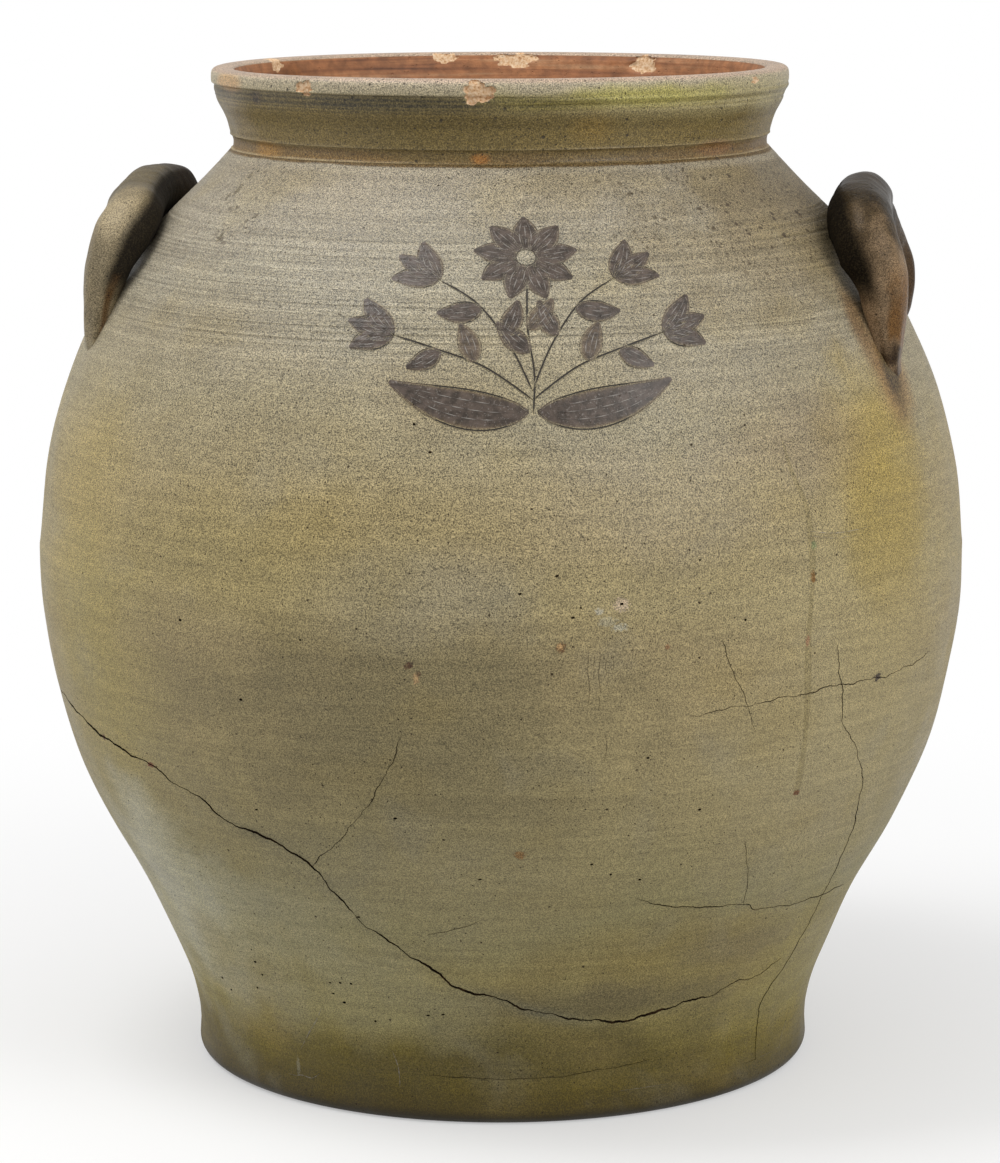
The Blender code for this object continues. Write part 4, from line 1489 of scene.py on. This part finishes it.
def collar_material():
    """Brown-olive glaze, greener to the right under the lip; pale crest, tan chips, orange-brown inside."""
    recipe = Recipe("collar_glaze")
    mottle = recipe.noise(52, 5.0)
    ragged = recipe.shifted(mottle, 1.6, -0.8)
    level = recipe.plus(recipe.height(), recipe.shifted(mottle, 0.0012, -0.0006))
    color = recipe.ramp(level, COLLAR_LEVELS)
    pixels = [entry[0] for entry in COLLAR_PATCHES]
    centers = seen_at(pixels, radius_at=upright(COLLAR_MIDDLE), high=ABOVE_LIP)
    color = recipe.patched(color, COLLAR_PATCHES, centers, ragged, 1.1)
    # Where the painted shade of the lines fades out, under the lip on the right
    unlined_right = recipe.patch(centers[0], 0.075, 0.008, ragged, 1.0)
    # Painted shade in the collar's line grooves and painted highlight between them
    lined = recipe.between(recipe.attribute("mark"), -1.0, 1.0, 0.45, 1.55)
    lined = recipe.shifted(recipe.less(1.1, lined), unlined_right, lined)
    color = recipe.shade(color, lined)
    streaks = recipe.noise(7, 5.0, recipe.stretched((1, 1, 60)))
    color = recipe.shade(color, recipe.between(streaks, 0.2, 0.8, 0.86, 1.14))
    under_lip = recipe.band(level, UNDER_LIP_RISE, UNDER_LIP_FALL)
    under_lip = recipe.times(under_lip, recipe.less(1.0, unlined_right))
    scored = recipe.between(recipe.noise(5, 4.0, recipe.stretched((1, 1, 300))), 0.40, 0.60, 0.62, 1.22)
    scored = recipe.plus(1.0, recipe.times(under_lip, recipe.less(scored, 1.0)))
    color = recipe.shade(color, scored)
    crest = recipe.shade(srgb(180, 156, 136), recipe.between(mottle, 0.2, 0.8, 0.88, 1.1))
    color = recipe.blend(recipe.attribute("crest"), color, crest)
    color, grain, fine, finest = grainy(recipe, color, 1.2, crisp=1.35)
    pits = recipe.most(recipe.dots(330, 0.12, 0.50, 0.3), recipe.dots(700, 0.20, 0.28))
    color = recipe.cover(color, pits, 0.85, srgb(44, 34, 22))
    color = recipe.blend(recipe.attribute("inside"), color, interior_color(recipe))
    rough = recipe.shifted(recipe.noise(900, 3.0), 0.7, -0.35)
    broken = recipe.between(recipe.plus(recipe.attribute("chip"), rough), 0.30, 0.42)
    core = recipe.ramp(recipe.noise(1100, 3.0), (
        (0.28, (160, 112, 72)), (0.42, (218, 176, 132)), (0.7, (244, 218, 184)),
    ))
    color = recipe.blend(broken, color, core)
    roughness = recipe.between(mottle, 0.2, 0.8, 0.42, 0.58)
    roughness = recipe.most(roughness, recipe.times(broken, 0.85))
    roughness = recipe.most(roughness, recipe.times(recipe.attribute("inside"), 0.62))
    normal = recipe.relief(
        (recipe.noise(150, 3.0), 0.3, 0.5), (grain, 0.2, 0.8), (fine, 0.1, 0.8), (finest, 0.05, 0.5),
        (recipe.times(pits, -1), 0.3, 0.8),
    )
    return recipe.finish(color, roughness, normal)


def handle_material(name, leg, crown, crown_end, foot, amber, amber_side, amber_band, gloss, specular):
    """Handle glaze: own tones on the crown, legs and feet, near black painted shade towards the wall, amber
    where it ran.

    The amber runs lie on the wall's side where amber_side is 1, and on the far side where it is -1.
    amber_band says how far out on that side they start and stop, and crown_end how far down the crown's
    tone goes.
    """
    recipe = Recipe(name)
    mottle = recipe.noise(75, 5.0)
    streak = recipe.noise(70, 4.0, recipe.stretched((1, 0.6, 0.7)), 0.6)
    shift = recipe.shifted(mottle, 0.6, -0.3)
    reach = recipe.plus(recipe.attribute("reach"), recipe.times(shift, 0.6))
    color = recipe.blend(recipe.between(reach, crown_end - 0.14, crown_end + 0.14), crown, leg)
    color = recipe.blend(recipe.between(reach, 0.86, 0.95), color, foot)
    color = recipe.shade(color, recipe.between(streak, 0.3, 0.7, 0.78, 1.26))
    facing = recipe.plus(recipe.attribute("toward"), recipe.times(shift, 0.5))
    near_foot = recipe.between(recipe.attribute("reach"), 0.72, 0.60)
    # Painted shade: near black on the side of the bar that faces the wall
    wall_side_shade = recipe.times(recipe.between(facing, -0.42, 0.14, 0.0, 0.97), near_foot)
    color = recipe.blend(wall_side_shade, color, srgb(18, 12, 6))
    ran = recipe.shifted(recipe.attribute("toward"), amber_side, recipe.times(shift, 0.9))
    where = recipe.band(reach, (0.56, 0.70), (0.92, 0.82))
    start, stop = amber_band
    across = recipe.between(ran, start, start + 0.3, 0.0, 0.75)
    across = recipe.times(across, recipe.between(ran, stop + 0.3, stop))
    color = recipe.blend(recipe.times(across, where), color, amber)
    # Painted shade: the half of the handle away from the camera, darker
    far_half_shade = recipe.between(recipe.parts("XYZ", recipe.spot)[1], 0.0, 0.02, 0.0, 0.75)
    color = recipe.blend(far_half_shade, color, srgb(40, 28, 15))
    color, grain, fine, _ = grainy(recipe, color, 1.2, 0.03)
    pits = recipe.most(recipe.dots(400, 0.10, 0.40), recipe.dots(800, 0.14, 0.24))
    color = recipe.cover(color, pits, 0.75, srgb(30, 22, 14))
    normal = recipe.relief(
        (recipe.noise(170, 3.0), 0.6, 0.7), (grain, 0.3, 0.8), (fine, 0.12, 0.8),
        (recipe.times(pits, -1), 0.3, 0.8),
    )
    roughness = recipe.between(mottle, 0.25, 0.75, gloss, gloss + 0.14)
    roughness = recipe.most(roughness, recipe.times(wall_side_shade, 0.95))
    return recipe.finish(color, roughness, normal, specular)


LIGHTS = (
    # name, azimuth and elevation in degrees, distance, width, height
    ("left", -69, 62, 1.4, 0.6, 0.9),
    ("right", 51, 31, 1.4, 0.6, 1.1),
    ("low", -66, 2, 1.3, 0.5, 0.3),
)
SWEEP_HALF_WIDTH = 30.0
SWEEP_DROP = 0.05 * MM
SHADOW_REACH = 0.16, 0.62


def add_light(name, azimuth, elevation, distance, width, height, power):
    """Soft box aimed at the jar's middle from an azimuth and elevation in degrees."""
    light = bpy.data.lights.new(name, "AREA")
    light.shape = "RECTANGLE"
    light.size = width
    light.size_y = height
    light.energy = power
    lamp = bpy.data.objects.new(name, light)
    turn = Matrix.Rotation(math.radians(azimuth), 4, "Z")
    tilt = Matrix.Rotation(math.radians(90 - elevation), 4, "X")
    middle = Matrix.Translation((0, 0, HEIGHT / 2))
    lamp.matrix_world = middle @ turn @ tilt @ Matrix.Translation((0, 0, distance))
    bpy.context.scene.collection.objects.link(lamp)


def floor_material(level):
    """Pale sweep: near the jar it takes its shadow, further off it turns plain white for the camera."""
    recipe = Recipe("pale_sweep")
    near = recipe.between(recipe.length(recipe.spot), *SHADOW_REACH, 0.62, 0.0)
    rays = recipe.add("LightPath").outputs
    seen = recipe.most(rays["Is Camera Ray"], rays["Is Glossy Ray"])
    seen = recipe.most(seen, rays["Is Transmission Ray"])
    recipe.feed(recipe.shader.inputs["Base Color"], recipe.blend(seen, (level,) * 3, (0.96,) * 3))
    recipe.shader.inputs["Roughness"].default_value = 0.9
    white = recipe.add("Emission", (("Strength", 1.0),))
    plain = recipe.times(seen, recipe.less(1.0, near))
    shaders = (0, plain), (1, recipe.shader.outputs[0]), (2, white.outputs[0])
    mixed = recipe.add("MixShader", shaders)
    recipe.feed(recipe.tree.nodes["Material Output"].inputs[0], mixed.outputs[0])
    return recipe.material


def make_floor(level):
    """Wide flat square just under the foot, which is stage and no part of the jar."""
    mesh = bpy.data.meshes.new("sweep")
    corners = np.array([(-1, -1, 0), (1, -1, 0), (1, 1, 0), (-1, 1, 0)]) * SWEEP_HALF_WIDTH
    mesh.from_pydata(corners.tolist(), [], [(0, 1, 2, 3)])
    mesh.materials.append(floor_material(level))
    floor = bpy.data.objects.new("sweep", mesh)
    floor.location.z = -SWEEP_DROP
    bpy.context.scene.collection.objects.link(floor)


def make_world(strength):
    """Even studio light, and plain white where the camera or a reflection sees past the floor."""
    world = bpy.data.worlds.new("studio")
    world.use_nodes = True
    tree = world.node_tree
    background = tree.nodes["Background"]
    background.inputs["Color"].default_value = (1, 1, 1, 1)
    rays = tree.nodes.new("ShaderNodeLightPath")
    seen = tree.nodes.new("ShaderNodeMath")
    seen.operation = "MAXIMUM"
    tree.links.new(rays.outputs["Is Camera Ray"], seen.inputs[0])
    tree.links.new(rays.outputs["Is Transmission Ray"], seen.inputs[1])
    level = tree.nodes.new("ShaderNodeMapRange")
    tree.links.new(seen.outputs[0], level.inputs[0])
    level.inputs[3].default_value = strength
    level.inputs[4].default_value = 1.0
    tree.links.new(level.outputs[0], background.inputs["Strength"])
    bpy.context.scene.world = world


def make_camera():
    """The photograph's view: its lens and place were fitted to the jar's outline."""
    camera = bpy.data.cameras.new("photo_camera")
    camera.sensor_width = 36
    camera.lens = FOCAL_PIXELS / PHOTO_HEIGHT * camera.sensor_width
    camera.sensor_fit = "AUTO"
    holder = bpy.data.objects.new("photo_camera", camera)
    holder.matrix_world = camera_matrix()
    bpy.context.scene.collection.objects.link(holder)
    bpy.context.scene.camera = holder


class CrockSizes(PropertyGroup):
    """Sizes that a user would change."""

    cut_half_width: FloatProperty(
        name="Cut line", description="Half width of an incised line", default=0.50 * MM, unit="LENGTH",
    )
    crack_share: FloatProperty(name="Cracks", description="Share of the cracks' own width", default=1.0)
    handle_share: FloatProperty(
        name="Handles", description="Share of the handle bars' own thickness", default=1.0,
    )


class CrockColors(PropertyGroup):
    """Colours that a user would change."""

    slip: FloatVectorProperty(
        name="Slip", description="Dark slip in the decoration", subtype="COLOR", default=srgb(70, 60, 54),
    )
    clay: FloatVectorProperty(
        name="Clay", description="Bare clay on the inside", subtype="COLOR", default=srgb(150, 100, 62),
    )
    left_leg: FloatVectorProperty(
        name="Left handle", description="Glaze down the left handle's legs", subtype="COLOR",
        default=srgb(146, 132, 104),
    )
    right_leg: FloatVectorProperty(
        name="Right handle", description="Glaze down the right handle's legs", subtype="COLOR",
        default=srgb(148, 124, 96),
    )


class CrockStage(PropertyGroup):
    """Levels of the studio's light."""

    world: FloatProperty(name="Room", description="Strength of the even light", default=0.6)
    left: FloatProperty(name="Left", description="Power of the high soft box on the left", default=9.5)
    right: FloatProperty(name="Right", description="Power of the soft box on the right", default=6.8)
    low: FloatProperty(name="Low", description="Power of the weak soft box low on the left", default=0.9)
    floor: FloatProperty(name="Floor", description="How much light the floor throws back", default=0.25)


class CROCK_OT_wall(Operator):
    """Build the lower wall and the shoulder"""

    bl_idname = "crock.wall"
    bl_label = "Wall"

    def execute(self, context):
        colors = context.scene.crock_colors
        make_lower_wall(wall_material("lower_wall_glaze", tuple(colors.slip), tuple(colors.clay)))
        make_shoulder(wall_material("shoulder_glaze", tuple(colors.slip), tuple(colors.clay)))
        return {"FINISHED"}


class CROCK_OT_collar(Operator):
    """Build the flared collar and its lip"""

    bl_idname = "crock.collar"
    bl_label = "Collar"

    def execute(self, context):
        make_collar(collar_material())
        return {"FINISHED"}


class CROCK_OT_handles(Operator):
    """Build the two loop handles"""

    bl_idname = "crock.handles"
    bl_label = "Handles"

    def execute(self, context):
        colors = context.scene.crock_colors
        left = handle_material(
            "left_handle_glaze", tuple(colors.left_leg), srgb(94, 83, 58), 0.37, srgb(154, 142, 114),
            srgb(92, 58, 18), 1, (-0.1, 0.35), 0.44, 0.25,
        )
        right = handle_material(
            "right_handle_glaze", tuple(colors.right_leg), srgb(46, 35, 19), 0.55, srgb(58, 41, 24),
            srgb(112, 74, 28), -1, (0.35, 1.5), 0.30, 0.10,
        )
        share = context.scene.crock_sizes.handle_share
        make_handle("left_loop", "left_handle", LEFT_HANDLE_MARKS, -1, share, left)
        make_handle("right_loop", "right_handle", RIGHT_HANDLE_MARKS, 1, share, right)
        return {"FINISHED"}


class CROCK_OT_spray(Operator):
    """Cut the leafy spray into the shoulder and fill it with slip"""

    bl_idname = "crock.spray"
    bl_label = "Spray"

    def execute(self, context):
        make_spray(bpy.data.materials["shoulder_glaze"], context.scene.crock_sizes.cut_half_width)
        return {"FINISHED"}


class CROCK_OT_cracks(Operator):
    """Run the cracks, the pits, the old drip and the scuffs over the wall"""

    bl_idname = "crock.cracks"
    bl_label = "Cracks"

    def execute(self, context):
        make_cracks(crack_material("crack_dirt"), context.scene.crock_sizes.crack_share)
        make_scratches(bpy.data.materials["lower_wall_glaze"])
        return {"FINISHED"}


class CROCK_OT_stage(Operator):
    """Set up the pale floor, the soft light and the camera"""

    bl_idname = "crock.stage"
    bl_label = "Stage"

    def execute(self, context):
        levels = context.scene.crock_stage
        make_floor(levels.floor)
        make_world(levels.world)
        for name, *shape in LIGHTS:
            add_light(name + "_box", *shape, getattr(levels, name))
        make_camera()
        context.scene.view_settings.view_transform = "Standard"
        return {"FINISHED"}


class CROCK_PT_panel(Panel):
    """Buttons that build the crock, piece by piece"""

    bl_idname = "CROCK_PT_panel"
    bl_label = "Stoneware crock"
    bl_space_type = "VIEW_3D"
    bl_region_type = "UI"
    bl_category = "Crock"

    def draw(self, context):
        for operator in OPERATORS:
            self.layout.operator(operator.bl_idname)
        for group in (context.scene.crock_sizes, context.scene.crock_colors, context.scene.crock_stage):
            for name in group.bl_rna.properties.keys():
                if name not in ("rna_type", "name"):
                    self.layout.prop(group, name)


OPERATORS = (
    CROCK_OT_wall, CROCK_OT_collar, CROCK_OT_handles, CROCK_OT_spray, CROCK_OT_cracks, CROCK_OT_stage,
)
GROUPS = {"crock_sizes": CrockSizes, "crock_colors": CrockColors, "crock_stage": CrockStage}


def register():
    for group in GROUPS.values():
        bpy.utils.register_class(group)
    for name, group in GROUPS.items():
        setattr(bpy.types.Scene, name, PointerProperty(type=group))
    for operator in OPERATORS:
        bpy.utils.register_class(operator)
    bpy.utils.register_class(CROCK_PT_panel)


def unregister():
    bpy.utils.unregister_class(CROCK_PT_panel)
    for operator in reversed(OPERATORS):
        bpy.utils.unregister_class(operator)
    for name, group in GROUPS.items():
        delattr(bpy.types.Scene, name)
        bpy.utils.unregister_class(group)


def main():
    register()
    bpy.ops.crock.wall()
    bpy.ops.crock.collar()
    bpy.ops.crock.handles()
    bpy.ops.crock.spray()
    bpy.ops.crock.cracks()
    bpy.ops.crock.stage()


if __name__ == "__main__":
    main()
